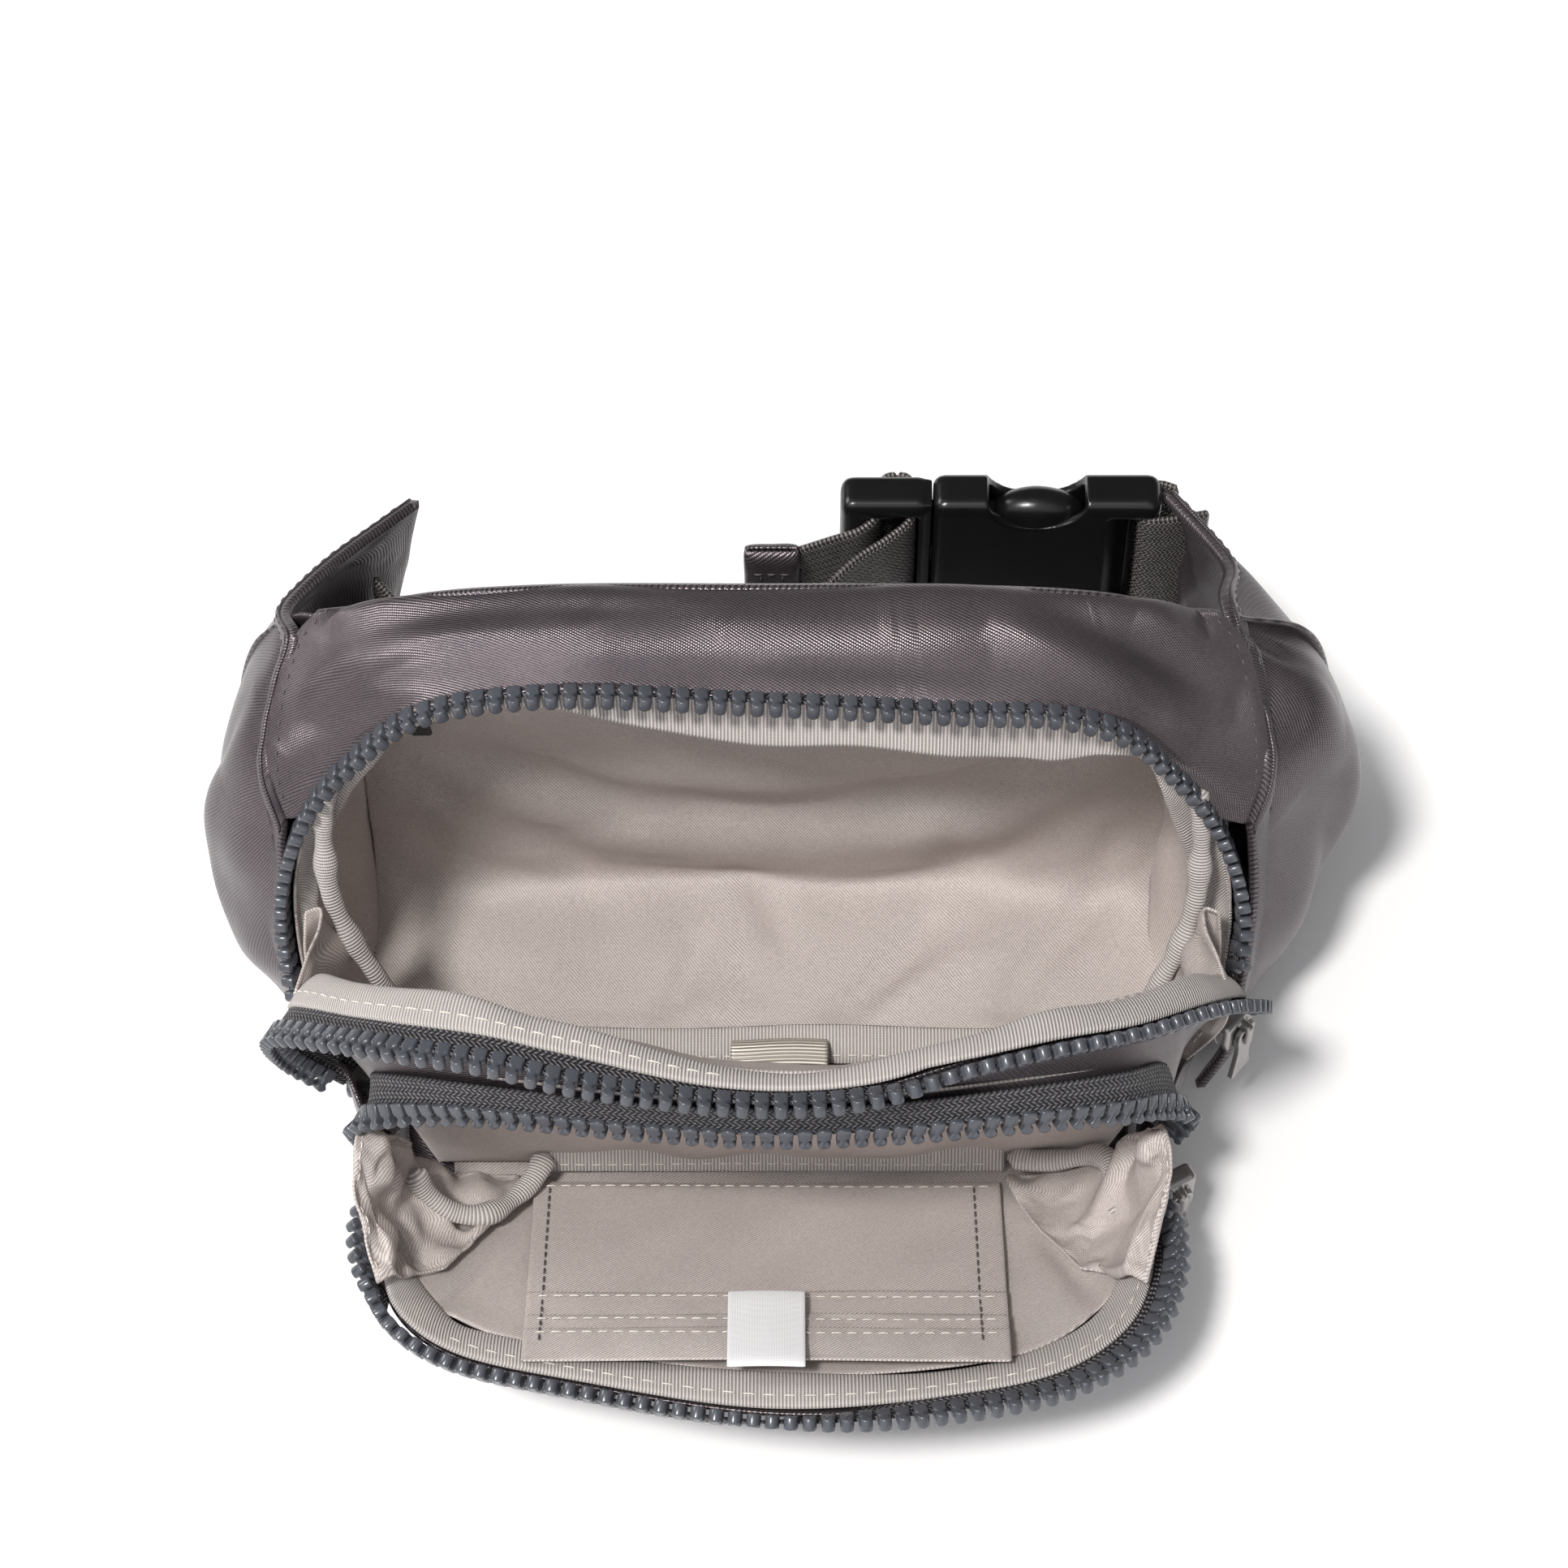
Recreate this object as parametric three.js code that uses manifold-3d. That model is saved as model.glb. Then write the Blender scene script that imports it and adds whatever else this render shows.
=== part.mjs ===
// Waist bag with two zipped compartments, standing upright with both compartments open.
// Millimetres, +Z up. The origin is on the underside of the base, under the back panel's middle.
// +X runs along the bag to the wearer's left, +Y points at the wearer, and the flaps open to -Y.
import * as THREE from 'three';
import { mergeVertices } from 'three/addons/utils/BufferGeometryUtils.js';
import Module from 'manifold-3d';

// ---- driving dimensions ----
const GAP = 0.4;                 // clearance between pieces that touch
const CHAIN_WIDTH = 6;           // zip teeth, across the row
const CHAIN_THICK = 3.2;
const TAPE_WIDTH = 4.6;          // zip tape that shows beside the teeth
const TAPE_THICK = 0.9;
const BINDING_THICK = 1.2;       // ribbed ribbon over a raw seam
const FABRIC_THICK = 1.4;        // outer cloth with its backing
const LINING_THICK = 0.9;
const BASE_THICK = 3;
const BODY_HALF = 103;           // half length of the back panel
const BODY_DEPTH = 46;           // base depth, from the origin to the main fold
const BACK_Y = 7.6;              // wearer's side of the back panel
const BACK_THICK = 3;
const MAIN_FOLD = { y: -46, z: 4 };      // where the front compartment folds down
const POCKET_FOLD = { y: -78, z: 4 };    // where the pocket's front folds down
const WEB_HEIGHT = 38;           // belt webbing
const WEB_THICK = 1.6;
const WEB_MID_Z = 70.5;
const BUCKLE = { mouth: 39, end: 92, tail: 18, y: 52.5, height: 49, depth: 11, wall: 2.3 };
const SEGMENTS = 40;             // steps along a rim
const TAPE_EDGE = CHAIN_WIDTH / 2 + TAPE_WIDTH + 2 * GAP;    // from a rim's middle to its binding

const wasm = await Module();
wasm.setup();

// ---- materials ----
const finish = (color, roughness, metalness = 0) =>
  new THREE.MeshStandardMaterial({ color, roughness, metalness });
const SHELL = finish(0x6e6668, 0.45);
const LINING = finish(0xafa5a0, 0.8);
const RIBBON = finish(0xcdc5c0, 0.75);
const TEETH = finish(0x5f6267, 0.3);
const TAPE = finish(0x4b4850, 0.85);
const WEBBING = finish(0x77706e, 0.6);
const BLACK = finish(0x141414, 0.35);
const METAL = finish(0x8d8a88, 0.35, 0.9);
const SATIN = finish(0xc9bfae, 0.35, 0.3);
const LABEL = finish(0xf2f2f2, 0.8);

// ---- rims and seams, each listed from the bag's left end to its right end ----
const REAR_RIM = [
  [-99, -58, 21], [-107, -50, 31], [-110, -40, 51], [-108.5, -35, 68], [-101.5, -29.5, 88.5],
  [-91.5, -25.5, 102], [-76, -21.5, 116], [-50, -20, 122], [0, -20.5, 120], [45, -21.5, 117.5],
  [66, -21.5, 116], [80, -23, 111], [91, -26, 100], [101, -30, 86], [108, -35.5, 68],
  [110, -41, 54.5], [109.3, -46.5, 48.5], [108.5, -51.5, 47.5],
];
const FRONT_RIM = [
  [-97.5, -68, 27], [-107, -69, 42], [-109.5, -73, 58], [-107.5, -78.5, 75], [-91, -90, 94],
  [-76, -97.5, 104], [-58, -102.5, 108], [-41, -107, 108], [0, -110.5, 104], [25, -109, 105],
  [45.5, -103, 106], [63, -98, 105], [81, -92, 101], [99.5, -79.5, 88], [109, -70.5, 73],
  [112, -65, 62], [111.3, -61, 54], [109.5, -58.5, 48.5],
];
const FRONT_SEAM = [
  [-91, -60, 31], [-99, -61, 46], [-101, -61, 60], [-100, -62, 72], [-88, -74, 88],
  [-75, -80, 98], [-59, -86, 103], [-42, -91, 104], [0, -96, 96.5], [25, -95, 97],
  [46, -91, 99], [63.5, -85.5, 98], [82, -77, 91], [97, -66, 78], [102, -60, 66],
  [103, -57.5, 58], [102.5, -55.5, 51], [101.5, -54, 46],
];
const POCKET_RIM = [
  [-87, -85, 32], [-91.5, -88, 46], [-88, -91, 58], [-74, -95.5, 70], [-60, -99.5, 77],
  [-24.5, -106.5, 84], [2, -109, 86], [28.5, -107.5, 85], [64, -101, 79], [80, -96, 72],
  [89, -90.5, 63], [96, -86, 50], [92.5, -85, 36],
];
const POCKET_SEAM = [
  [-81, -80, 37], [-84, -83, 50], [-83, -86, 66], [-73, -92, 79], [-60, -97, 87],
  [-24, -105, 94], [2, -107, 96], [28.5, -105, 95], [64, -97, 88], [79, -91, 80],
  [86, -86, 70], [90, -82, 56], [86, -79, 41],
];
const FLAP_RIM = [
  [-89.5, -97, 30], [-91, -108, 33], [-87, -125, 36], [-81, -134, 38], [-69.5, -142, 40],
  [-42.5, -150, 43], [2, -158, 44.5], [37.5, -156.5, 45], [69.5, -148.5, 43], [86.5, -134.5, 39],
  [93, -117, 35], [93, -105.5, 32], [90, -96, 29],
];
const FLAP_SEAM = [
  [-81, -94, 22], [-81, -106, 24], [-77, -119, 27], [-71, -126, 29], [-61, -132, 31],
  [-38, -138, 34], [2, -144, 36], [36, -143, 36], [62, -137, 34], [76, -126, 31],
  [83, -113, 27], [84, -103, 24], [82, -94, 21],
];

// ---- curves ----
const vec = (p) => new THREE.Vector3(p[0], p[1], p[2]);

/** Points at even steps of a smooth curve's parameter, so that two rims keep matching points. */
function smooth(points, steps = SEGMENTS, from = 0, to = 1) {
  const curve = new THREE.CatmullRomCurve3(points.map(vec), false, 'centripetal');
  return Array.from({ length: steps + 1 }, (_, i) => curve.getPoint(from + (to - from) * i / steps));
}

/** The line at a given distance from one rim towards another. */
const toward = (rim, seam, distance) => rim.map((p, i) =>
  p.clone().add(seam[i].clone().sub(p).setLength(distance)));

/** The line a given share of the way from one rim to another. */
const share = (rim, seam, f) => rim.map((p, i) => p.clone().lerp(seam[i], f));

const shifted = (line, x, y, z) => line.map((p) => p.clone().add(new THREE.Vector3(x, y, z)));

// ---- solids ----
/** A closed mesh from a list of points and quads, turned so that its faces point out. */
function closedSolid(points, quads) {
  const triangles = quads.flatMap(([a, b, c, d]) => [[a, b, c], [a, c, d]]);
  const volume = triangles.reduce((sum, [a, b, c]) =>
    sum + points[a].dot(points[b].clone().cross(points[c])), 0);
  const index = triangles.flatMap(([a, b, c]) => (volume < 0 ? [a, c, b] : [a, b, c]));
  const geometry = new THREE.BufferGeometry();
  geometry.setAttribute('position', new THREE.Float32BufferAttribute(
    points.flatMap((p) => [p.x, p.y, p.z]), 3));
  geometry.setIndex(index);
  geometry.computeVertexNormals();
  return geometry;
}

/** A sheet with a thickness, through a grid of points: rows of equal length. */
function sheet(rows, thickness) {
  const across = rows.length;
  const along = rows[0].length;
  const at = (r, c) => rows[Math.min(Math.max(r, 0), across - 1)][Math.min(Math.max(c, 0), along - 1)];
  const faces = [1, -1].map((side) => rows.flatMap((row, r) => row.map((p, c) => {
    const u = at(r, c + 1).clone().sub(at(r, c - 1));
    const v = at(r + 1, c).clone().sub(at(r - 1, c));
    return p.clone().addScaledVector(u.cross(v).normalize(), side * thickness / 2);
  })));
  const points = faces.flat();
  const id = (side, r, c) => side * across * along + r * along + c;
  const quads = [];
  for (let r = 0; r < across - 1; r += 1) {
    for (let c = 0; c < along - 1; c += 1) {
      quads.push([id(0, r, c), id(0, r, c + 1), id(0, r + 1, c + 1), id(0, r + 1, c)]);
      quads.push([id(1, r, c), id(1, r + 1, c), id(1, r + 1, c + 1), id(1, r, c + 1)]);
    }
  }
  for (let c = 0; c < along - 1; c += 1) {
    quads.push([id(0, 0, c), id(1, 0, c), id(1, 0, c + 1), id(0, 0, c + 1)]);
    const r = across - 1;
    quads.push([id(0, r, c), id(0, r, c + 1), id(1, r, c + 1), id(1, r, c)]);
  }
  for (let r = 0; r < across - 1; r += 1) {
    quads.push([id(0, r, 0), id(0, r + 1, 0), id(1, r + 1, 0), id(1, r, 0)]);
    const c = along - 1;
    quads.push([id(0, r, c), id(1, r, c), id(1, r + 1, c), id(0, r + 1, c)]);
  }
  return closedSolid(points, quads);
}

/** A sheet through rows of control points, each row smoothed and the rows smoothed across. */
function panel(controlRows, thickness, alongSteps = 12, acrossSteps = 8) {
  const rows = controlRows.map((row) => smooth(row, alongSteps));
  const columns = rows[0].map((_, c) => {
    const column = new THREE.CatmullRomCurve3(rows.map((row) => row[c]), false, 'centripetal');
    return Array.from({ length: acrossSteps + 1 }, (__, i) => column.getPoint(i / acrossSteps));
  });
  return sheet(Array.from({ length: acrossSteps + 1 }, (_, r) => columns.map((col) => col[r])), thickness);
}

/** A closed outline through [x, y] points, with every corner rounded by the same radius. */
function rounded(corners, radius) {
  const shape = new THREE.Shape();
  const points = corners.map(([x, y]) => new THREE.Vector2(x, y));
  points.forEach((corner, i) => {
    const before = points[(i + points.length - 1) % points.length];
    const after = points[(i + 1) % points.length];
    const start = corner.clone().add(before.clone().sub(corner).setLength(radius));
    const finishAt = corner.clone().add(after.clone().sub(corner).setLength(radius));
    if (i === 0) shape.moveTo(start.x, start.y);
    else shape.lineTo(start.x, start.y);
    shape.quadraticCurveTo(corner.x, corner.y, finishAt.x, finishAt.y);
  });
  shape.closePath();
  return shape;
}

const rectangle = (x0, x1, y0, y1, radius) =>
  rounded([[x0, y0], [x1, y0], [x1, y1], [x0, y1]], radius);

/** A flat plate lying on z = bottom. */
function plate(shape, bottom, thickness, curveSegments = 3) {
  const geometry = new THREE.ExtrudeGeometry(shape, { depth: thickness, bevelEnabled: false, curveSegments });
  return geometry.translate(0, 0, bottom);
}

/** A plate whose outline is drawn in x and z, standing from y = front to y = front + thickness. */
function uprightPlate(shape, front, thickness, curveSegments = 3) {
  const geometry = new THREE.ExtrudeGeometry(shape, { depth: thickness, bevelEnabled: false, curveSegments });
  return geometry.rotateX(Math.PI / 2).translate(0, front + thickness, 0);
}

const block = (x0, x1, y0, y1, z0, z1) =>
  new THREE.BoxGeometry(x1 - x0, y1 - y0, z1 - z0).translate((x0 + x1) / 2, (y0 + y1) / 2, (z0 + z1) / 2);

// ---- joining and cutting ----
function toManifold(geometry) {
  const bare = geometry.clone();
  bare.deleteAttribute('normal');
  bare.deleteAttribute('uv');
  const merged = mergeVertices(bare, 1e-4);
  return new wasm.Manifold(new wasm.Mesh({
    numProp: 3,
    vertProperties: new Float32Array(merged.attributes.position.array),
    triVerts: new Uint32Array(merged.index.array),
  }));
}

function fromManifold(solid) {
  const mesh = solid.getMesh();
  const geometry = new THREE.BufferGeometry();
  geometry.setAttribute('position', new THREE.BufferAttribute(new Float32Array(mesh.vertProperties), 3));
  geometry.setIndex(new THREE.BufferAttribute(new Uint32Array(mesh.triVerts), 1));
  geometry.computeVertexNormals();
  return geometry;
}

const cut = (geometry, ...tools) => fromManifold(
  tools.reduce((solid, tool) => solid.subtract(toManifold(tool)), toManifold(geometry)));
const join = (geometry, ...others) => fromManifold(
  others.reduce((solid, other) => solid.add(toManifold(other)), toManifold(geometry)));

// ---- the part ----
const part = new THREE.Group();

function add(name, geometry, material) {
  const mesh = new THREE.Mesh(geometry, material);
  mesh.name = name;
  part.add(mesh);
  return mesh;
}

/** One half of a zip: the row of teeth on the rim and the tape beside it. */
function zipHalf(name, rim, seam) {
  const half = CHAIN_WIDTH / 2;
  add(`${name}_chain`, sheet([toward(rim, seam, -half), toward(rim, seam, half)], CHAIN_THICK), TEETH);
  const inner = toward(rim, seam, half + 2 * GAP);
  const outer = toward(rim, seam, half + GAP + TAPE_WIDTH);
  add(`${name}_tape`, sheet([inner, outer], TAPE_THICK), TAPE);
}

/** The ribbon over the seam behind a zip's tape. */
function binding(name, rim, seam) {
  add(name, sheet([toward(rim, seam, TAPE_EDGE), seam], BINDING_THICK), RIBBON);
}

// -- rear body: base, back, band and side wings --
const BASE_END = 100;
add('base_panel', plate(rectangle(-BASE_END, BASE_END, -BODY_DEPTH + 0.6, BACK_Y - BACK_THICK - GAP, 6),
  0, BASE_THICK), SHELL);

const BACK_ARCH = rounded([
  [-BASE_END, 1], [BASE_END, 1], [BODY_HALF, 60], [BODY_HALF - 2, 110], [82, 122], [45, 126],
  [-50, 126], [-78, 122], [-BODY_HALF + 4, 110], [-BODY_HALF, 60],
], 5);
add('back_panel', uprightPlate(BACK_ARCH, BACK_Y - BACK_THICK, BACK_THICK), SHELL);

const LINING_BACK_Y = 2.4;
const MAIN_LINING = [-92, -50, 0, 50, 94].map((x) => [
  [x, -BODY_DEPTH + 4, 4.4], [x, -24, 4.4], [x, -4, 7], [x, LINING_BACK_Y, 22],
  [x, LINING_BACK_Y, 62], [x, LINING_BACK_Y, Math.abs(x) > 90 ? 96 : 114],
]);
add('main_lining', panel(MAIN_LINING, LINING_THICK, 14, 10), LINING);

// The band runs from just outside the rear rim, over the top, to the back panel's upper edge.
const BAND_FIRST = 4;
const BAND_LAST = 13;
const rimSlice = (rim, first, last) => rim.slice(first, last + 1);
const BAND_FRONT = rimSlice(REAR_RIM, BAND_FIRST, BAND_LAST).map(([x, y, z]) => {
  const lean = Math.atan2(z - 60, x);
  return [x + 3.2 * Math.cos(lean), y + 3, z + 3.2 * Math.sin(lean)];
});
const BAND_BACK = [
  [-104, 3.6, 104], [-100, 4, 112.5], [-84, 4.4, 122.5], [-52, 4.6, 128], [0, 4.6, 128],
  [42, 4.6, 128], [66, 4.6, 126.5], [84, 4.4, 122.5], [98, 4, 114], [105, 3.6, 104],
];
const BAND_CROWN = BAND_FRONT.map(([x, y, z], i) => {
  const back = BAND_BACK[i];
  const lift = 1.6;
  return [(x + back[0]) / 2 * 1.008, (y + back[1]) / 2, (z + back[2]) / 2 + lift];
});
add('top_band', panel([BAND_FRONT, BAND_CROWN, BAND_BACK], FABRIC_THICK, 30, 5), SHELL);

const WING_LEFT = [
  [[-101, -53, 9], [-109.5, -46, 24], [-114, -38, 44], [-112.5, -32, 64], [-107.5, -26, 84]],
  [[-106, -42, 3], [-120, -36, 20], [-125.5, -29, 45], [-123, -22, 70], [-111, -14, 98]],
  [[-112, -20, 3], [-124, -21, 18], [-129, -17, 45], [-127, -12, 75], [-112, -3, 106]],
  [[-112, 5, 6], [-122, 4, 22], [-127, 4, 48], [-124, 4, 78], [-109, 8, 108]],
  [[-104, 25, 28], [-109, 25, 42], [-111, 25, 62], [-108, 25, 83], [-100, 22, 103]],
  [[-85, 47.5, 50], [-85.5, 48, 60], [-86, 48.5, 71], [-86, 48, 82], [-85, 47.5, 92]],
];
const WING_RIGHT = [
  [[106, -47, 9], [111.5, -43, 24], [114.5, -38, 44], [113, -31, 64], [108.5, -25, 84]],
  [[112, -40, 4], [123, -33, 20], [129, -26, 45], [127, -20, 70], [115, -13, 99]],
  [[114, -20, 3], [129, -20, 20], [137, -14, 50], [136, -8, 80], [117, -1, 107]],
  [[114, 5, 6], [127, 5, 22], [134, 5, 50], [133, 5, 80], [115, 12, 108]],
  [[110, 28, 28], [115, 29, 42], [118, 30, 62], [117, 31, 83], [111, 31, 101]],
  [[98, 49.5, 50], [98.5, 50, 60], [99, 50.5, 71], [99, 50.5, 82], [98, 50.5, 92]],
];
const WING_THICK = 2.4;
add('wing_left', panel(WING_LEFT, WING_THICK, 8, 14), SHELL);
add('wing_right', panel(WING_RIGHT, WING_THICK, 8, 14), SHELL);

// -- main zip, rear half, with its ribbon hanging inside --
const rearRim = smooth(REAR_RIM);
const rearTapeLine = rearRim.map((p) => {
  const side = Math.max(-1, Math.min(1, p.x / 108)) ** 3;
  return p.clone().add(new THREE.Vector3(-side * 1.5, 10, -4 + 4 * Math.abs(side)));
});
zipHalf('rear_zip', rearRim, rearTapeLine);
const rearBindTop = rearRim.map((p) => new THREE.Vector3(p.x * 0.945, p.y + 6.5, p.z - 4.6));
const rearBindLow = rearRim.map((p) => new THREE.Vector3(p.x * 0.93, p.y + 10, p.z - 15));
const BIND_CUT = 3;              // rim steps without ribbon at each end
add('rear_binding', sheet([rearBindTop, rearBindLow].map(
  (line) => line.slice(BIND_CUT, SEGMENTS - BIND_CUT)), BINDING_THICK), RIBBON);

const SIDE_GUSSET = [
  [[-93, -42, 7], [-95, -47, 24], [-94, -52, 40], [-92, -54, 52]],
  [[-94, -26, 7], [-96, -33, 26], [-94, -38, 46], [-92, -42, 62]],
  [[-94, -8, 9], [-95, -10, 30], [-92, -12, 50], [-89, -14, 66]],
];
const mirrored = (rows, scale = 1) => rows.map((row) => row.map(([x, y, z]) => [-x * scale, y, z]));
add('side_gusset_left', panel(SIDE_GUSSET, LINING_THICK, 6, 6), LINING);
add('side_gusset_right', panel(mirrored(SIDE_GUSSET, 1.01), LINING_THICK, 6, 6), LINING);

// -- small trim inside the main compartment --
add('base_binding', block(-60, 62, -BODY_DEPTH + 1, -BODY_DEPTH + 2.6, 4.2, 11), RIBBON);
add('ribbon_tag', block(-9, 15, -BODY_DEPTH - 0.9, -BODY_DEPTH + 0.6, 3.6, 12), SATIN);
const LEASH = { x: -80, y: -2.6, top: 95, width: 4, drop: 17 };
add('key_leash', block(LEASH.x - LEASH.width / 2, LEASH.x + LEASH.width / 2,
  LEASH.y - 0.9, LEASH.y + 0.9, LEASH.top - LEASH.drop, LEASH.top), BLACK);

// -- front of the main compartment: divider, zip half, outer strip and sides --
const frontRim = smooth(FRONT_RIM);
const frontSeam = smooth(FRONT_SEAM);
zipHalf('front_zip', frontRim, frontSeam);
binding('front_binding', frontRim, frontSeam);

const DIVIDER_STEPS = 20;
const DIVIDER_FROM = 3.2 / 17;
const DIVIDER_TO = 13.6 / 17;
const dividerTop = smooth(FRONT_SEAM, DIVIDER_STEPS, DIVIDER_FROM, DIVIDER_TO);
const dividerFoot = dividerTop.map((p, i) => new THREE.Vector3(
  -88 + 178 * i / DIVIDER_STEPS, MAIN_FOLD.y - 2.2, MAIN_FOLD.z + 2));
const dividerRows = [0, 0.33, 0.66, 0.965].map((f) => share(dividerFoot, dividerTop, f));
add('divider_panel', sheet(dividerRows, LINING_THICK + 0.5), LINING);

const POCKET_STEPS = 30;
const pocketRim = smooth(POCKET_RIM, POCKET_STEPS);
const pocketSeam = smooth(POCKET_SEAM, POCKET_STEPS);
zipHalf('pocket_zip', pocketRim, pocketSeam);

// The outer strip joins the main zip's tape to the top of the pocket's tape.
const stripRim = smooth(FRONT_RIM, POCKET_STEPS, DIVIDER_FROM, DIVIDER_TO);
const stripSeam = smooth(FRONT_SEAM, POCKET_STEPS, DIVIDER_FROM, DIVIDER_TO);
const stripTop = shifted(share(stripRim, stripSeam, 0.42), 0, 0.4, -3);
const stripFoot = shifted(toward(pocketRim, pocketSeam, TAPE_EDGE), 0, 1.4, 0.8);
add('middle_band', sheet([0, 0.5, 1].map((f) => share(stripTop, stripFoot, f)), FABRIC_THICK), SHELL);

const POCKET_SIDE = [
  [[-86.5, -77, 2.4], [-87, -77.5, 12], [-87.5, -78, 21], [-87.5, -78, 30]],
  [[-87.5, -64, 2.4], [-89, -66, 14], [-90, -67, 26], [-90, -67.5, 36]],
  [[-87.5, -50, 2.4], [-89, -53, 12], [-89.5, -55, 20], [-89.5, -57, 27]],
];
add('pocket_side_left', panel(POCKET_SIDE, FABRIC_THICK, 6, 6), SHELL);
add('pocket_side_right', panel(mirrored(POCKET_SIDE, 1.02), FABRIC_THICK, 6, 6), SHELL);

add('pocket_base', plate(rectangle(-84, 86, POCKET_FOLD.y + 0.6, MAIN_FOLD.y - 0.8, 4), 0, BASE_THICK), SHELL);
const pocketBackTop = shifted(smooth(POCKET_SEAM, POCKET_STEPS, 0.16, 0.84), 0, 3.2, 0);
const pocketBackFoot = pocketBackTop.map((p, i) => new THREE.Vector3(
  -74 + 150 * i / POCKET_STEPS, POCKET_FOLD.y + 5, POCKET_FOLD.z + 1));
add('pocket_back', sheet([0, 0.5, 0.94].map((f) => share(pocketBackFoot, pocketBackTop, f)),
  LINING_THICK), LINING);
add('pocket_seam_binding', block(-49, 53, POCKET_FOLD.y + 0.4, POCKET_FOLD.y + 2, 4, 11), RIBBON);

const POCKET_GUSSET = [
  [[-72, -80, 8], [-76, -83, 20], [-76, -85, 32], [-77, -86.5, 42]],
  [[-70, -86, 12], [-72, -91, 21], [-73, -96, 28], [-74, -99, 34]],
  [[-68, -93, 16], [-70, -101, 22], [-71, -107, 26], [-72, -110, 29]],
];
add('pocket_gusset_left', panel(POCKET_GUSSET, LINING_THICK, 6, 6), LINING);
add('pocket_gusset_right', panel(mirrored(POCKET_GUSSET, 1.02), LINING_THICK, 6, 6), LINING);

// -- pocket front: outer cloth, lining, card slots and zip half --
const flapRim = smooth(FLAP_RIM, POCKET_STEPS);
const flapSeam = smooth(FLAP_SEAM, POCKET_STEPS);
zipHalf('flap_zip', flapRim, flapSeam);
binding('flap_binding', flapRim, flapSeam);

const FLAP_FROM = 0.12;
const FLAP_TO = 0.88;
const FLAP_HALF = 72;
const FLAP_STEPS = 24;
const flapEdge = smooth(FLAP_SEAM, FLAP_STEPS, FLAP_FROM, FLAP_TO);
const flapFoot = (y, z) => flapEdge.map((_, i) => new THREE.Vector3(
  -FLAP_HALF + 2 * FLAP_HALF * i / FLAP_STEPS, y, z));
const frontFoot = flapFoot(POCKET_FOLD.y - 1.6, 1.4);
const frontEdge = shifted(flapEdge, 0, -2.6, -3.4);
add('front_panel', sheet([0, 0.35, 0.7, 1].map((f) => share(frontFoot, frontEdge, f)), FABRIC_THICK), SHELL);
const liningFoot = flapFoot(POCKET_FOLD.y - 3, 4.6);
add('flap_lining', sheet([0, 0.35, 0.7, 0.97].map((f) => share(liningFoot, flapEdge, f)), LINING_THICK), LINING);

// The card slots are flat layers stacked on the lining, in the lining's own plane.
const CARD_HALF = 54;
const SLOT_THICK = 0.6;
const SLOT_LAYER = SLOT_THICK + GAP;
const LABEL_HALF = 8.5;
const cards = new THREE.Group();
cards.position.set(1, POCKET_FOLD.y - 3, POCKET_FOLD.z + 2.8);
cards.rotation.x = Math.atan2(63, 32);
part.add(cards);
[
  ['card_panel', 3, 59, 0], ['card_slot_lower', 40, 61, 1], ['card_slot_middle', 48, 63, 2],
  ['card_slot_upper', 54, 65, 3],
].forEach(([name, low, high, layer]) => {
  const lift = layer * SLOT_LAYER;
  const mesh = new THREE.Mesh(block(-CARD_HALF, CARD_HALF, lift, lift + SLOT_THICK, low, high), LINING);
  mesh.name = name;
  cards.add(mesh);
});
const labelLift = 4 * SLOT_LAYER;
const labelMesh = new THREE.Mesh(
  block(-LABEL_HALF, LABEL_HALF, labelLift, labelLift + 0.5, 45, 66), LABEL);
labelMesh.name = 'care_label';
cards.add(labelMesh);

// -- belt webbing and buckle --
/** Webbing standing on edge along a path of [x, y] points. */
function web(name, path) {
  const lift = (z) => smooth(path.map(([x, y]) => [x, y, z]), path.length * 4);
  add(name, sheet([lift(WEB_MID_Z - WEB_HEIGHT / 2), lift(WEB_MID_Z + WEB_HEIGHT / 2)], WEB_THICK), WEBBING);
}

web('webbing_left', [[-90, 37], [-80, 26], [-60, 18.5], [-38, 16], [-12, 18.5], [8, 27], [22, 37.5],
  [30, 43.5], [34.2, 48], [35, 53], [34.8, 57.4], [33.4, 59.8], [31.8, 60.2]]);
web('webbing_tail', [[30.8, 60.2], [29, 59.8], [27.4, 57.4], [27, 53], [26.2, 48.6], [22.6, 45], [16, 42.4],
  [8.6, 39.6]]);
web('webbing_right', [[96.2, 48], [93, 47.8], [89, 48], [87, 50], [86.7, 52.5], [87.2, 55.2], [89.2, 57.4],
  [93, 57.8], [96.2, 56.6]]);
const WEB_SLOT_LOW = WEB_MID_Z - WEB_HEIGHT / 2 - 1;
const WEB_SLOT_HIGH = WEB_MID_Z + WEB_HEIGHT / 2 + 1;
add('tail_cap', cut(block(-4, 8, 35.6, 41.6, WEB_SLOT_LOW, WEB_SLOT_HIGH),
  block(7, 9, 37.6, 40.8, WEB_SLOT_LOW + GAP, WEB_SLOT_HIGH - GAP)), SHELL);

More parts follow.
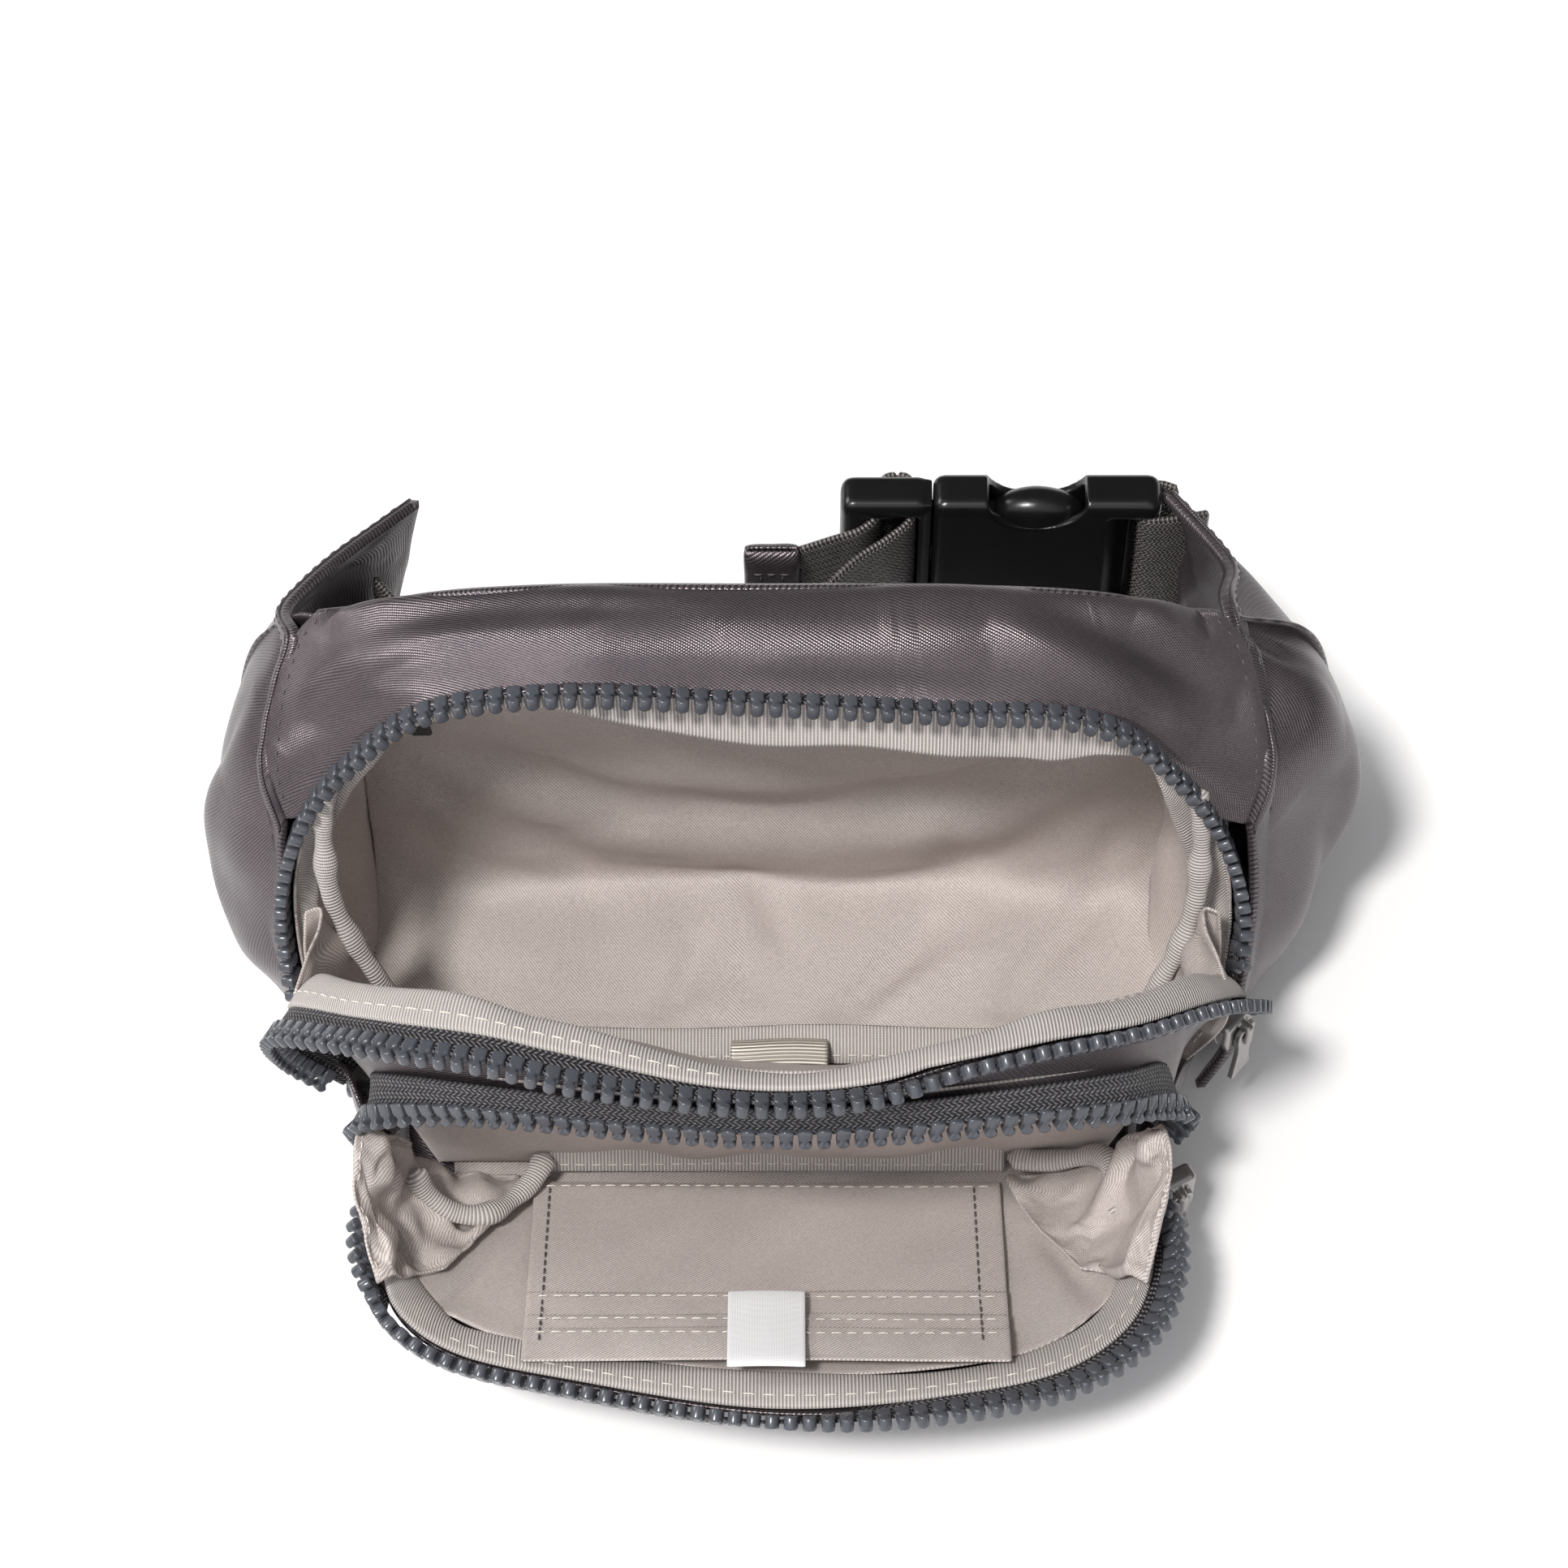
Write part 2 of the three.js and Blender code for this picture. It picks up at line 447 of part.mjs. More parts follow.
const zLow = WEB_MID_Z - BUCKLE.height / 2;
const zHigh = WEB_MID_Z + BUCKLE.height / 2;
const yFront = BUCKLE.y - BUCKLE.depth / 2;
const yWearer = yFront + BUCKLE.depth;
const scoop = (z) => {
  const outline = new THREE.Shape();
  outline.absellipse(62, z, 13.5, 8.5, 0, 2 * Math.PI);
  return uprightPlate(outline, yFront - 1, BUCKLE.depth + 2, 8);
};
const femaleOutline = rounded([[BUCKLE.mouth, zLow], [BUCKLE.end, zLow + 3], [BUCKLE.end, zHigh - 3],
  [BUCKLE.mouth, zHigh]], 4);
add('buckle_female', cut(uprightPlate(femaleOutline, yFront, BUCKLE.depth),
  block(BUCKLE.mouth - 1, 78, yFront + BUCKLE.wall, yWearer - BUCKLE.wall,
    zLow + BUCKLE.wall, zHigh - BUCKLE.wall),
  block(84, 89.6, yFront - 1, yWearer + 1, WEB_SLOT_LOW, WEB_SLOT_HIGH),
  block(89, 93, yFront - 1, BUCKLE.y - 2, WEB_SLOT_LOW, WEB_SLOT_HIGH),
  block(89, 93, BUCKLE.y + 2, yWearer + 1, WEB_SLOT_LOW, WEB_SLOT_HIGH),
  scoop(zLow), scoop(zHigh)), BLACK);

const maleOutline = rounded([[BUCKLE.tail, zLow + 2], [BUCKLE.mouth - GAP, zLow], [BUCKLE.mouth - GAP, zHigh],
  [BUCKLE.tail, zHigh - 2]], 4);
add('buckle_male', join(cut(uprightPlate(maleOutline, yFront + 0.5, BUCKLE.depth - 1),
  block(22.4, 29.6, yFront - 1, yWearer + 1, WEB_SLOT_LOW, WEB_SLOT_HIGH),
  block(33, 36.8, yFront - 1, yWearer + 1, WEB_SLOT_LOW, WEB_SLOT_HIGH),
  block(29, 34, yFront - 1, BUCKLE.y - 2.2, WEB_SLOT_LOW, WEB_SLOT_HIGH)),
  block(37, 76, BUCKLE.y - 1.8, BUCKLE.y + 1.8, WEB_MID_Z - 5, WEB_MID_Z + 5)), BLACK);

/** A springy arm whose head shows in the female half's side window. */
function prong(name, side) {
  const z = (offset) => WEB_MID_Z + side * offset;
  const points = [[39.3, 14.4], [52, 13.6], [70, 14.4], [74, 17], [72, 20.4], [66, 21.4], [58, 21.6],
    [55.6, 17.6], [39.3, 17.6]].map(([x, offset]) => [x, z(offset)]);
  const outline = rounded(side > 0 ? points : points.reverse(), 0.9);
  add(name, uprightPlate(outline, BUCKLE.y - 2.6, 5.2, 2), BLACK);
}
prong('prong_upper', 1);
prong('prong_lower', -1);

// -- zip sliders, pulls and end stops --
/** A slider body, drawn upright with its crown towards -Y, and the pull that hangs from its bail. */
function slider(name, place, turn, pullLength) {
  const group = new THREE.Group();
  group.position.set(...place);
  group.rotation.set(0, 0, turn);
  part.add(group);
  const shell = rounded([[-4.4, -6], [4.4, -6], [5.4, 5], [-5.4, 5]], 2);
  const bodyMesh = new THREE.Mesh(join(uprightPlate(shell, -2.2, 4.4),
    cut(block(-1.1, 1.1, -5.6, -1.8, -4, 4.6), block(-2, 2, -4.4, -2.6, -2.4, 3))), METAL);
  bodyMesh.name = `${name}_slider`;
  group.add(bodyMesh);
  const eye = rounded([[-3, 2.4], [3, 2.4], [3.2, -7], [2.6, -pullLength], [-2.6, -pullLength], [-3.2, -7]], 1.2);
  const bore = uprightPlate(rectangle(-1.7, 1.7, -5.4, 1, 0.6), -6, 6);
  const pullMesh = new THREE.Mesh(cut(uprightPlate(eye, -4.05, 1.1), bore), METAL);
  pullMesh.name = `${name}_pull`;
  group.add(pullMesh);
}
slider('main', [108, -57.5, 39], 0.87, 19);
slider('pocket', [94, -91, 22], 0.5, 17);
add('main_zip_stop', block(-97, -91, -66, -62.6, 17, 21), TEETH);
add('pocket_zip_stop', block(-92, -87, -92.4, -89.4, 23, 27), TEETH);

export default part;
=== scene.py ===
"""Looks for the waist bag: cloth, zips, bindings, webbing and buckle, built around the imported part.

Lengths are millimetres in the part's own frame unless a name says otherwise; MM turns them into metres.
"""
import math

import bmesh
import bpy
import numpy as np
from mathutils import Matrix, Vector


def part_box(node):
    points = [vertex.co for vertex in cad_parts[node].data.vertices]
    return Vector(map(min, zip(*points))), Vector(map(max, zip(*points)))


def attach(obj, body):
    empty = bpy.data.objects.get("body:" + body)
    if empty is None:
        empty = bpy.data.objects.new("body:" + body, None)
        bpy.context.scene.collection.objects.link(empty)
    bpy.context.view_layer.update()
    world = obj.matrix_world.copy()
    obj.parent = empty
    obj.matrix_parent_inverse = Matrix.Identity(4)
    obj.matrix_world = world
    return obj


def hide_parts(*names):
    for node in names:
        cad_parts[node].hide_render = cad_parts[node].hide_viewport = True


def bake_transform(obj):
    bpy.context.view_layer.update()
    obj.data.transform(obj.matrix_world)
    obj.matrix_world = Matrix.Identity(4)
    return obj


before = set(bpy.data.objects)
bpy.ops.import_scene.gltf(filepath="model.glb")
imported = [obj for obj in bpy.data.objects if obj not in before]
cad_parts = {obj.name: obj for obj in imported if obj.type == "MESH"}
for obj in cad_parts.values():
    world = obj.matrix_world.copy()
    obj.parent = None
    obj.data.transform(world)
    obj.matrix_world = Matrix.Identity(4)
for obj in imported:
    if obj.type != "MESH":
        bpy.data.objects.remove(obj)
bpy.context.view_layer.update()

MM = 0.001
TAPE_EDGE = 8.4             # from a rim's middle to its binding
TOOTH_PITCH = 4.1
TOOTH_THICK = 3.0
TAPE_THICK = 0.7
SHELL_THICK = 1.2
WING_THICK = 2.8
LINING_THICK = 0.7
CARD_THICK = 0.6
RIBBON_THICK = 1.5
SEAM_RIBBON_THICK = 1.1
WEB_THICK = 1.8
RIM_SAMPLES = 420           # points along each rim and seam

# ---- rims and seams of the two zipped openings, from the bag's left end to its right end ----
REAR_RIM = [
    (-99, -58, 21), (-107, -50, 31), (-110, -40, 51), (-108.5, -35, 68), (-101.5, -29.5, 88.5),
    (-91.5, -25.5, 102), (-76, -21.5, 116), (-50, -20, 122), (0, -20.5, 120), (45, -21.5, 117.5),
    (66, -21.5, 116), (80, -23, 111), (91, -26, 100), (101, -30, 86), (108, -35.5, 68),
    (110, -41, 54.5), (109.3, -46.5, 48.5), (108.5, -51.5, 47.5),
]
FRONT_RIM = [
    (-97.5, -68, 27), (-107, -69, 42), (-109.5, -73, 58), (-107.5, -78.5, 75), (-91, -90, 94),
    (-76, -97.5, 104), (-58, -102.5, 108), (-41, -107, 108), (0, -110.5, 104), (25, -109, 105),
    (45.5, -103, 106), (63, -98, 105), (81, -92, 101), (99.5, -79.5, 88), (109, -70.5, 73),
    (112, -65, 62), (111.3, -61, 54), (109.5, -58.5, 48.5),
]
FRONT_SEAM = [
    (-91, -60, 31), (-99, -61, 46), (-101, -61, 60), (-100, -62, 72), (-88, -74, 88),
    (-75, -80, 98), (-59, -86, 103), (-42, -91, 104), (0, -96, 96.5), (25, -95, 97),
    (46, -91, 99), (63.5, -85.5, 98), (82, -77, 91), (97, -66, 78), (102, -60, 66),
    (103, -57.5, 58), (102.5, -55.5, 51), (101.5, -54, 46),
]
POCKET_RIM = [
    (-87, -85, 32), (-91.5, -88, 46), (-88, -91, 58), (-74, -95.5, 70), (-60, -99.5, 77),
    (-24.5, -106.5, 84), (2, -109, 86), (28.5, -107.5, 85), (64, -101, 79), (80, -96, 72),
    (89, -90.5, 63), (96, -86, 50), (92.5, -85, 36),
]
POCKET_SEAM = [
    (-81, -80, 37), (-84, -83, 50), (-83, -86, 66), (-73, -92, 79), (-60, -97, 87),
    (-24, -105, 94), (2, -107, 96), (28.5, -105, 95), (64, -97, 88), (79, -91, 80),
    (86, -86, 70), (90, -82, 56), (86, -79, 41),
]
FLAP_RIM = [
    (-89.5, -97, 30), (-91, -108, 33), (-87, -125, 36), (-81, -134, 38), (-69.5, -142, 40),
    (-42.5, -150, 43), (2, -158, 44.5), (37.5, -156.5, 45), (69.5, -148.5, 43), (86.5, -134.5, 39),
    (93, -117, 35), (93, -105.5, 32), (90, -96, 29),
]
FLAP_SEAM = [
    (-81, -94, 22), (-81, -106, 24), (-77, -119, 27), (-71, -126, 29), (-61, -132, 31),
    (-38, -138, 34), (2, -144, 36), (36, -143, 36), (62, -137, 34), (76, -126, 31),
    (83, -113, 27), (84, -103, 24), (82, -94, 21),
]


# ---- curves and grids ----
def smooth(control, count, start=0.0, end=1.0):
    """Centripetal Catmull-Rom curve through control points or control rows, at even parameter steps."""
    c = np.array(control, float)
    spans = len(c) - 1
    c = np.concatenate([[2 * c[0] - c[1]], c, [2 * c[-1] - c[-2]]])
    t = np.linspace(start, end, count) * spans
    i = np.minimum(t.astype(int), spans - 1)
    w = (t - i).reshape((-1,) + (1,) * (c.ndim - 1))
    p0, p1, p2, p3 = c[i], c[i + 1], c[i + 2], c[i + 3]

    def knot(a, b):
        return np.maximum(np.linalg.norm(b - a, axis=-1, keepdims=True), 1e-9) ** 0.5

    d0, d1, d2 = knot(p0, p1), knot(p1, p2), knot(p2, p3)
    m1 = ((p1 - p0) / d0 - (p2 - p0) / (d0 + d1) + (p2 - p1) / d1) * d1
    m2 = ((p2 - p1) / d1 - (p3 - p1) / (d1 + d2) + (p3 - p2) / d2) * d1
    return ((2 * w**3 - 3 * w**2 + 1) * p1 + (w**3 - 2 * w**2 + w) * m1
            + (3 * w**2 - 2 * w**3) * p2 + (w**3 - w**2) * m2)


def unit(v):
    return v / np.maximum(np.linalg.norm(v, axis=-1, keepdims=True), 1e-9)


def lengths(line):
    """Distance along a line at each of its points."""
    return np.concatenate([[0], np.cumsum(np.linalg.norm(np.diff(line, axis=0), axis=1))])


def at_length(line, s):
    """A function that reads any array that runs along a line, at distances s along the line."""
    d = lengths(line)
    return lambda values: np.stack([np.interp(s, d, values[:, k]) for k in range(values.shape[1])], 1)


def loft(rows, along, across):
    """A grid of points through control rows: each row smoothed, then the rows smoothed across."""
    return smooth(np.stack([smooth(row, along) for row in rows]), across)


def between(rows, count):
    """A grid whose rows are smoothed across lines that already have matching points."""
    return smooth(np.stack(rows), count)


def mirrored(rows, mirror, along, across, reverse):
    """A lofted grid from rows drawn for the bag's left side. A mirror of -1 makes the right side's grid."""
    grid = loft([[(mirror * x, y, z) for x, y, z in row] for row in rows], along, across)
    return grid[:, ::-1] if reverse else grid


def normals(grid):
    return unit(np.cross(np.gradient(grid, axis=1), np.gradient(grid, axis=0)))


def sideways(vectors, tangent):
    """Unit vectors with what runs along the tangent taken out."""
    return unit(vectors - tangent * np.sum(vectors * tangent, axis=1, keepdims=True))


def step(x, low, high):
    """0 below low, 1 above high, and smooth between them."""
    t = np.clip((x - low) / (high - low), 0, 1)
    return t * t * (3 - 2 * t)


def fold(grid, path, width, height):
    """Raises a soft ridge along a path (or sinks a valley, with a height below 0)."""
    line = smooth(path, 24)
    points = grid.reshape(-1, 3)
    best = np.full(len(points), np.inf)
    share = np.zeros(len(points))
    for k, (a, b) in enumerate(zip(line[:-1], line[1:])):
        t = np.clip((points - a) @ (b - a) / max((b - a) @ (b - a), 1e-9), 0, 1)
        d = np.linalg.norm(points - a - t[:, None] * (b - a), axis=1)
        share = np.where(d < best, (k + t) / (len(line) - 1), share)
        best = np.minimum(best, d)
    amount = height * np.sin(np.pi * np.clip(share, 0, 1)) ** 0.8 * np.exp(-((best / width) ** 2))
    return grid + normals(grid) * amount.reshape(grid.shape[:2])[..., None]


def folded(grid, folds):
    """A grid with several folds, each a path, a width and a height."""
    for path, width, height in folds:
        grid = fold(grid, path, width, height)
    return grid


def ripple(grid, size, height, seed, edge=0.12):
    """Adds gentle unevenness, none at the grid's edges: a few sine waves with fixed directions."""
    rng = np.random.default_rng(int(seed * 10))
    total = np.zeros(grid.shape[:2])
    for _ in range(7):
        direction = unit(rng.normal(size=3))
        wave = size * rng.uniform(0.6, 1.7)
        total += np.sin(grid @ direction * 2 * math.pi / wave + rng.uniform(0, 6.28)) / 7**0.5
    r, c = np.meshgrid(np.linspace(0, 1, grid.shape[0]), np.linspace(0, 1, grid.shape[1]), indexing="ij")
    inner = step(np.minimum(np.minimum(r, 1 - r), np.minimum(c, 1 - c)), 0, edge)
    return grid + normals(grid) * (total * inner * height)[..., None]


def refined(grid, rows, cols):
    """The same surface with more points."""
    return np.swapaxes(smooth(np.swapaxes(smooth(grid, rows), 0, 1), cols), 0, 1)


SIM_FRAMES = 22
REST_PLANE = 0.3            # half the side, in metres, of a plane that settling cloth rests against


def rest_plane(axis, level):
    """A plane for settling cloth to rest against: flat at a z level, or standing at a y level."""
    size = REST_PLANE
    corners = [(-size, -size), (size, -size), (size, size), (-size, size)]
    points = [(a, b, level * MM) if axis == "z" else (a, level * MM, -b) for a, b in corners]
    mesh = bpy.data.meshes.new("rest")
    mesh.from_pydata(points, [], [(0, 1, 2, 3) if axis == "z" else (3, 2, 1, 0)])
    plane = bpy.data.objects.new("rest", mesh)
    bpy.context.scene.collection.objects.link(plane)
    plane.modifiers.new("rest", "COLLISION")
    plane.collision.thickness_outer = 0.0004
    return plane


def settled(grid, spare, reach, bend, melt, gravity=1.0, floor=None, back=None):
    """Lets slack cloth fall into its own folds: a short simulation, held at its edges.

    spare is how much larger the cloth is than its place, reach how far a point may move, floor and back are
    planes that it rests against, and melt is how often its finest wrinkles are smoothed.
    """
    rows, cols = grid.shape[:2]
    at = np.arange(rows * cols).reshape(rows, cols)
    quads = np.stack([at[:-1, :-1], at[:-1, 1:], at[1:, 1:], at[1:, :-1]], -1).reshape(-1, 4)
    cloth_mesh = bpy.data.meshes.new("cloth")
    cloth_mesh.from_pydata((grid.reshape(-1, 3) * MM).tolist(), [], quads.tolist())
    cloth = bpy.data.objects.new("cloth", cloth_mesh)
    bpy.context.scene.collection.objects.link(cloth)
    pin = cloth.vertex_groups.new(name="pin")
    pin.add(np.unique(np.concatenate([at[0], at[-1], at[:, 0], at[:, -1]])).tolist(), 1.0, "REPLACE")
    made = [cloth]
    made += [rest_plane(axis, level) for axis, level in (("z", floor), ("y", back)) if level is not None]
    modifier = cloth.modifiers.new("cloth", "CLOTH")
    rules = modifier.settings
    rules.quality = 6
    rules.mass = 0.15
    rules.tension_stiffness = rules.compression_stiffness = 12
    rules.shear_stiffness = 4
    rules.bending_stiffness = bend
    rules.vertex_group_mass = "pin"
    rules.shrink_min = -spare
    rules.effector_weights.gravity = gravity
    modifier.collision_settings.distance_min = 0.0006
    modifier.collision_settings.use_self_collision = False
    scene = bpy.context.scene
    modifier.point_cache.frame_end = SIM_FRAMES
    for moment in range(1, SIM_FRAMES + 1):
        scene.frame_set(moment)
    solved = cloth.evaluated_get(bpy.context.evaluated_depsgraph_get()).to_mesh()
    points = np.zeros(len(solved.vertices) * 3)
    solved.vertices.foreach_get("co", points)
    scene.frame_set(1)
    for obj in made:
        bpy.data.objects.remove(obj)
    moved = points.reshape(rows, cols, 3) / MM - grid
    for _ in range(melt):
        for axis in (0, 1):
            ends = [(1, 1) if k == axis else (0, 0) for k in range(3)]
            wide = np.pad(moved, ends, "edge")
            before, after = (wide[:-2], wide[2:]) if axis == 0 else (wide[:, :-2], wide[:, 2:])
            moved = moved * 0.5 + (before + after) * 0.25
    far = np.linalg.norm(moved, axis=2, keepdims=True)
    return grid + moved * np.minimum(1, reach / np.maximum(far, 1e-6))


# ---- meshes ----
def mesh_object(name, verts, faces, material, uv=None):
    """A smooth-shaded mesh from millimetre points, with weave coordinates in metres per vertex."""
    mesh = bpy.data.meshes.new(name)
    mesh.from_pydata((np.asarray(verts) * MM).tolist(), [], [tuple(f) for f in faces])
    if uv is not None:
        layer = mesh.uv_layers.new(name="weave")
        index = np.zeros(len(mesh.loops), np.int64)
        mesh.loops.foreach_get("vertex_index", index)
        layer.data.foreach_set("uv", (np.asarray(uv)[index] * MM).ravel())
    mesh.polygons.foreach_set("use_smooth", np.ones(len(mesh.polygons), bool))
    mesh.materials.append(material)
    mesh.update()
    obj = bpy.data.objects.new(name, mesh)
    bpy.context.scene.collection.objects.link(obj)
    return obj


def weave_coordinates(grid):
    """Real lengths along and across a grid, counted from its middle."""
    u = np.concatenate([np.zeros((grid.shape[0], 1)),
                        np.cumsum(np.linalg.norm(np.diff(grid, axis=1), axis=2), axis=1)], axis=1)
    v = np.concatenate([np.zeros((1, grid.shape[1])),
                        np.cumsum(np.linalg.norm(np.diff(grid, axis=0), axis=2), axis=0)], axis=0)
    u = u - u[:, grid.shape[1] // 2][:, None]
    return np.stack([u, v], axis=2)


def sheet(name, grid, thickness, material):
    """Cloth with a thickness and rounded edges, through a grid of points. Its front is the +normal side."""
    rows, cols = grid.shape[:2]
    n = normals(grid)
    uv = weave_coordinates(grid).reshape(-1, 2)
    ring = ([(0, c) for c in range(cols)] + [(r, cols - 1) for r in range(1, rows)]
            + [(rows - 1, c) for c in range(cols - 2, -1, -1)] + [(r, 0) for r in range(rows - 2, 0, -1)])
    rr, cc = np.array(ring).T
    inner = grid[np.clip(rr, 1, rows - 2), np.clip(cc, 1, cols - 2)]
    rim = grid[rr, cc] + unit(grid[rr, cc] - inner) * thickness * 0.45
    front = (grid + n * thickness / 2).reshape(-1, 3)
    back = (grid - n * thickness / 2).reshape(-1, 3)
    count = rows * cols
    at = np.arange(count).reshape(rows, cols)
    quads = np.stack([at[:-1, :-1], at[:-1, 1:], at[1:, 1:], at[1:, :-1]], -1).reshape(-1, 4)
    ids = rr * cols + cc
    nxt = np.roll(ids, -1)
    mid = 2 * count + np.arange(len(ids))
    mid_next = np.roll(mid, -1)
    faces = np.concatenate([
        quads, quads[:, ::-1] + count,
        np.stack([mid, mid_next, nxt, ids], -1),
        np.stack([ids + count, nxt + count, mid_next, mid], -1),
    ])
    return mesh_object(name, np.concatenate([front, back, rim]), faces, material,
                       np.concatenate([uv, uv, uv[ids]]))


def tube_faces(rings, n):
    """Faces between rings of n points each, as quads."""
    return [(r * n + i, r * n + (i + 1) % n, (r + 1) * n + (i + 1) % n, (r + 1) * n + i)
            for r in range(rings - 1) for i in range(n)]


def copies(name, template, faces, origins, xs, ys, zs, material):
    """One mesh that holds a copy of a small template at each place, turned to its own axes."""
    t = np.asarray(template)
    verts = (origins[:, None] + t[None, :, 0:1] * xs[:, None] + t[None, :, 1:2] * ys[:, None]
             + t[None, :, 2:3] * zs[:, None]).reshape(-1, 3)
    every = [tuple(i + k * len(t) for i in f) for k in range(len(origins)) for f in faces]
    return mesh_object(name, verts, every, material)


def applied(obj):
    """Bakes an object's modifiers into its mesh."""
    depsgraph = bpy.context.evaluated_depsgraph_get()
    mesh = bpy.data.meshes.new_from_object(obj.evaluated_get(depsgraph))
    obj.modifiers.clear()
    obj.data = mesh
    return obj


# ---- materials ----
class Finish:
    """A procedural material: helper calls add nodes and return their output sockets."""

    def __init__(self, name, **shader):
        self.material = bpy.data.materials.new(name)
        self.material.use_nodes = True
        self.tree = self.material.node_tree
        self.shader = self.tree.nodes["Principled BSDF"]
        for key, value in shader.items():
            self.shader.inputs[key.replace("_", " ")].default_value = value

    def node(self, kind, inputs, output=0, **settings):
        made = self.tree.nodes.new(kind)
        for key, value in settings.items():
            setattr(made, key, value)
        for key, value in inputs.items():
            if isinstance(value, bpy.types.NodeSocket):
                self.tree.links.new(value, made.inputs[key])
            else:
                made.inputs[key].default_value = value
        return made.outputs[output]

    def math(self, operation, a, b=0.0):
        return self.node("ShaderNodeMath", {0: a, 1: b}, operation=operation)

    def mix(self, a, b, share):
        """The sum of a and b, with b's share given."""
        return self.math("ADD", self.math("MULTIPLY", a, 1 - share), self.math("MULTIPLY", b, share))

    def weave(self):
        """Weave coordinates in metres, as two sockets."""
        uv = self.node("ShaderNodeUVMap", {}, uv_map="weave")
        split = self.tree.nodes.new("ShaderNodeSeparateXYZ")
        self.tree.links.new(uv, split.inputs[0])
        return split.outputs[0], split.outputs[1]

    def wave(self, u, v, pitch_mm, degrees):
        """0 to 1 waves that run at an angle to the weave coordinates."""
        a = math.radians(degrees)
        turns = 2 * math.pi / (pitch_mm * MM)
        along = self.math("MULTIPLY", u, math.cos(a) * turns)
        phase = self.math("MULTIPLY_ADD", v, math.sin(a) * turns)
        self.tree.links.new(along, phase.node.inputs[2])
        return self.half(phase)

    def half(self, phase):
        """A sine of the phase, moved to between 0 and 1."""
        made = self.math("MULTIPLY_ADD", self.math("SINE", phase), 0.5)
        made.node.inputs[2].default_value = 0.5
        return made

    def noise(self, scale, detail=3.0, vector=None):
        if vector is None:
            vector = self.node("ShaderNodeTexCoord", {}, output=3)
        return self.node("ShaderNodeTexNoise", {"Vector": vector, "Scale": scale, "Detail": detail})

    def colour(self, factor, low, high, start=0.0, end=1.0):
        """Colours from low to high while the factor goes from start to end."""
        ramp = self.tree.nodes.new("ShaderNodeValToRGB")
        ramp.color_ramp.elements[0].position = start
        ramp.color_ramp.elements[1].position = end
        ramp.color_ramp.elements[0].color = (*low, 1)
        ramp.color_ramp.elements[1].color = (*high, 1)
        self.tree.links.new(factor, ramp.inputs[0])
        return ramp.outputs[0]

    def finish(self, colour, height=None, depth_mm=0.1, strength=1.0):
        self.tree.links.new(colour, self.shader.inputs["Base Color"])
        if height is not None:
            inputs = {"Strength": strength, "Distance": depth_mm * MM, "Height": height}
            bump = self.node("ShaderNodeBump", inputs)
            self.tree.links.new(bump, self.shader.inputs["Normal"])
        return self.material


def twill_height(f, pitch, angle):
    """Twill: diagonal ridges broken into short floats."""
    u, v = f.weave()
    return f.mix(f.wave(u, v, pitch, angle), f.wave(u, v, pitch * 0.82, angle + 68), 0.32)


def varied_tone_and_sheen(f, height, scale, amount):
    """Mixes a weave with slow noise, so that no two areas have the same tone. On the shell these slow patches
    are painted sheen: satin's lit and shaded patches put into its colour.
    """
    return f.mix(height, f.noise(scale, 4.0), amount)


def shell_twill():
    f = Finish("shell_twill", Metallic=0.6, Roughness=0.29, Specular_IOR_Level=0.5, Anisotropic=0.6)
    height = twill_height(f, 0.66, 62)
    # Warm and cool yarns follow the weave. The slow noise patches, from cool dark to warm light, are painted
    # sheen: lit and shaded satin patches in the colour.
    flecked = f.mix(varied_tone_and_sheen(f, height, 20, 0.34), f.noise(1500, 2), 0.24)
    colour = f.colour(flecked, (0.017, 0.017, 0.029), (0.183, 0.150, 0.149), 0.22, 0.78)
    return f.finish(colour, height, 0.08)


def lining():
    f = Finish("lining", Metallic=0.08, Roughness=0.52, Specular_IOR_Level=0.3)
    height = twill_height(f, 0.62, 52)
    flecked = f.mix(varied_tone_and_sheen(f, height, 30, 0.25), f.noise(1400, 2), 0.3)
    colour = f.colour(flecked, (0.255, 0.222, 0.212), (0.700, 0.628, 0.590), 0.2, 0.8)
    return f.finish(colour, height, 0.10, 0.9)


def ribbed_ribbon():
    f = Finish("ribbed_ribbon", Roughness=0.85, Specular_IOR_Level=0.12, Sheen_Weight=0.1)
    u, v = f.weave()
    height = f.mix(f.wave(u, v, 0.8, 0), f.wave(u, v, 0.42, 90), 0.2)
    colour = f.colour(varied_tone_and_sheen(f, height, 60, 0.2), (0.27, 0.243, 0.228), (0.72, 0.67, 0.64), 0.1, 0.9)
    return f.finish(colour, height, 0.3)


def herringbone_height(f, pitch, band, slope=1.0):
    """Ridges whose slant turns back at each band, crossed by a fine pick."""
    u, v = f.weave()
    zig = f.math("PINGPONG", v, band * MM)
    slanted = f.math("ADD", u, f.math("MULTIPLY", zig, slope))
    ridge = f.half(f.math("MULTIPLY", slanted, 2 * math.pi / (pitch * MM)))
    cross = f.wave(u, v, pitch * 0.7, 90)
    return f.math("MULTIPLY", ridge, f.math("ADD", f.math("MULTIPLY", cross, 0.6), 0.4))


def zip_tape():
    f = Finish("zip_tape", Roughness=0.6, Specular_IOR_Level=0.45)
    height = herringbone_height(f, 1.4, 1.5)
    colour = f.colour(varied_tone_and_sheen(f, height, 500, 0.3), (0.008, 0.008, 0.011), (0.30, 0.28, 0.29), 0.3, 0.95)
    return f.finish(colour, height, 0.5)


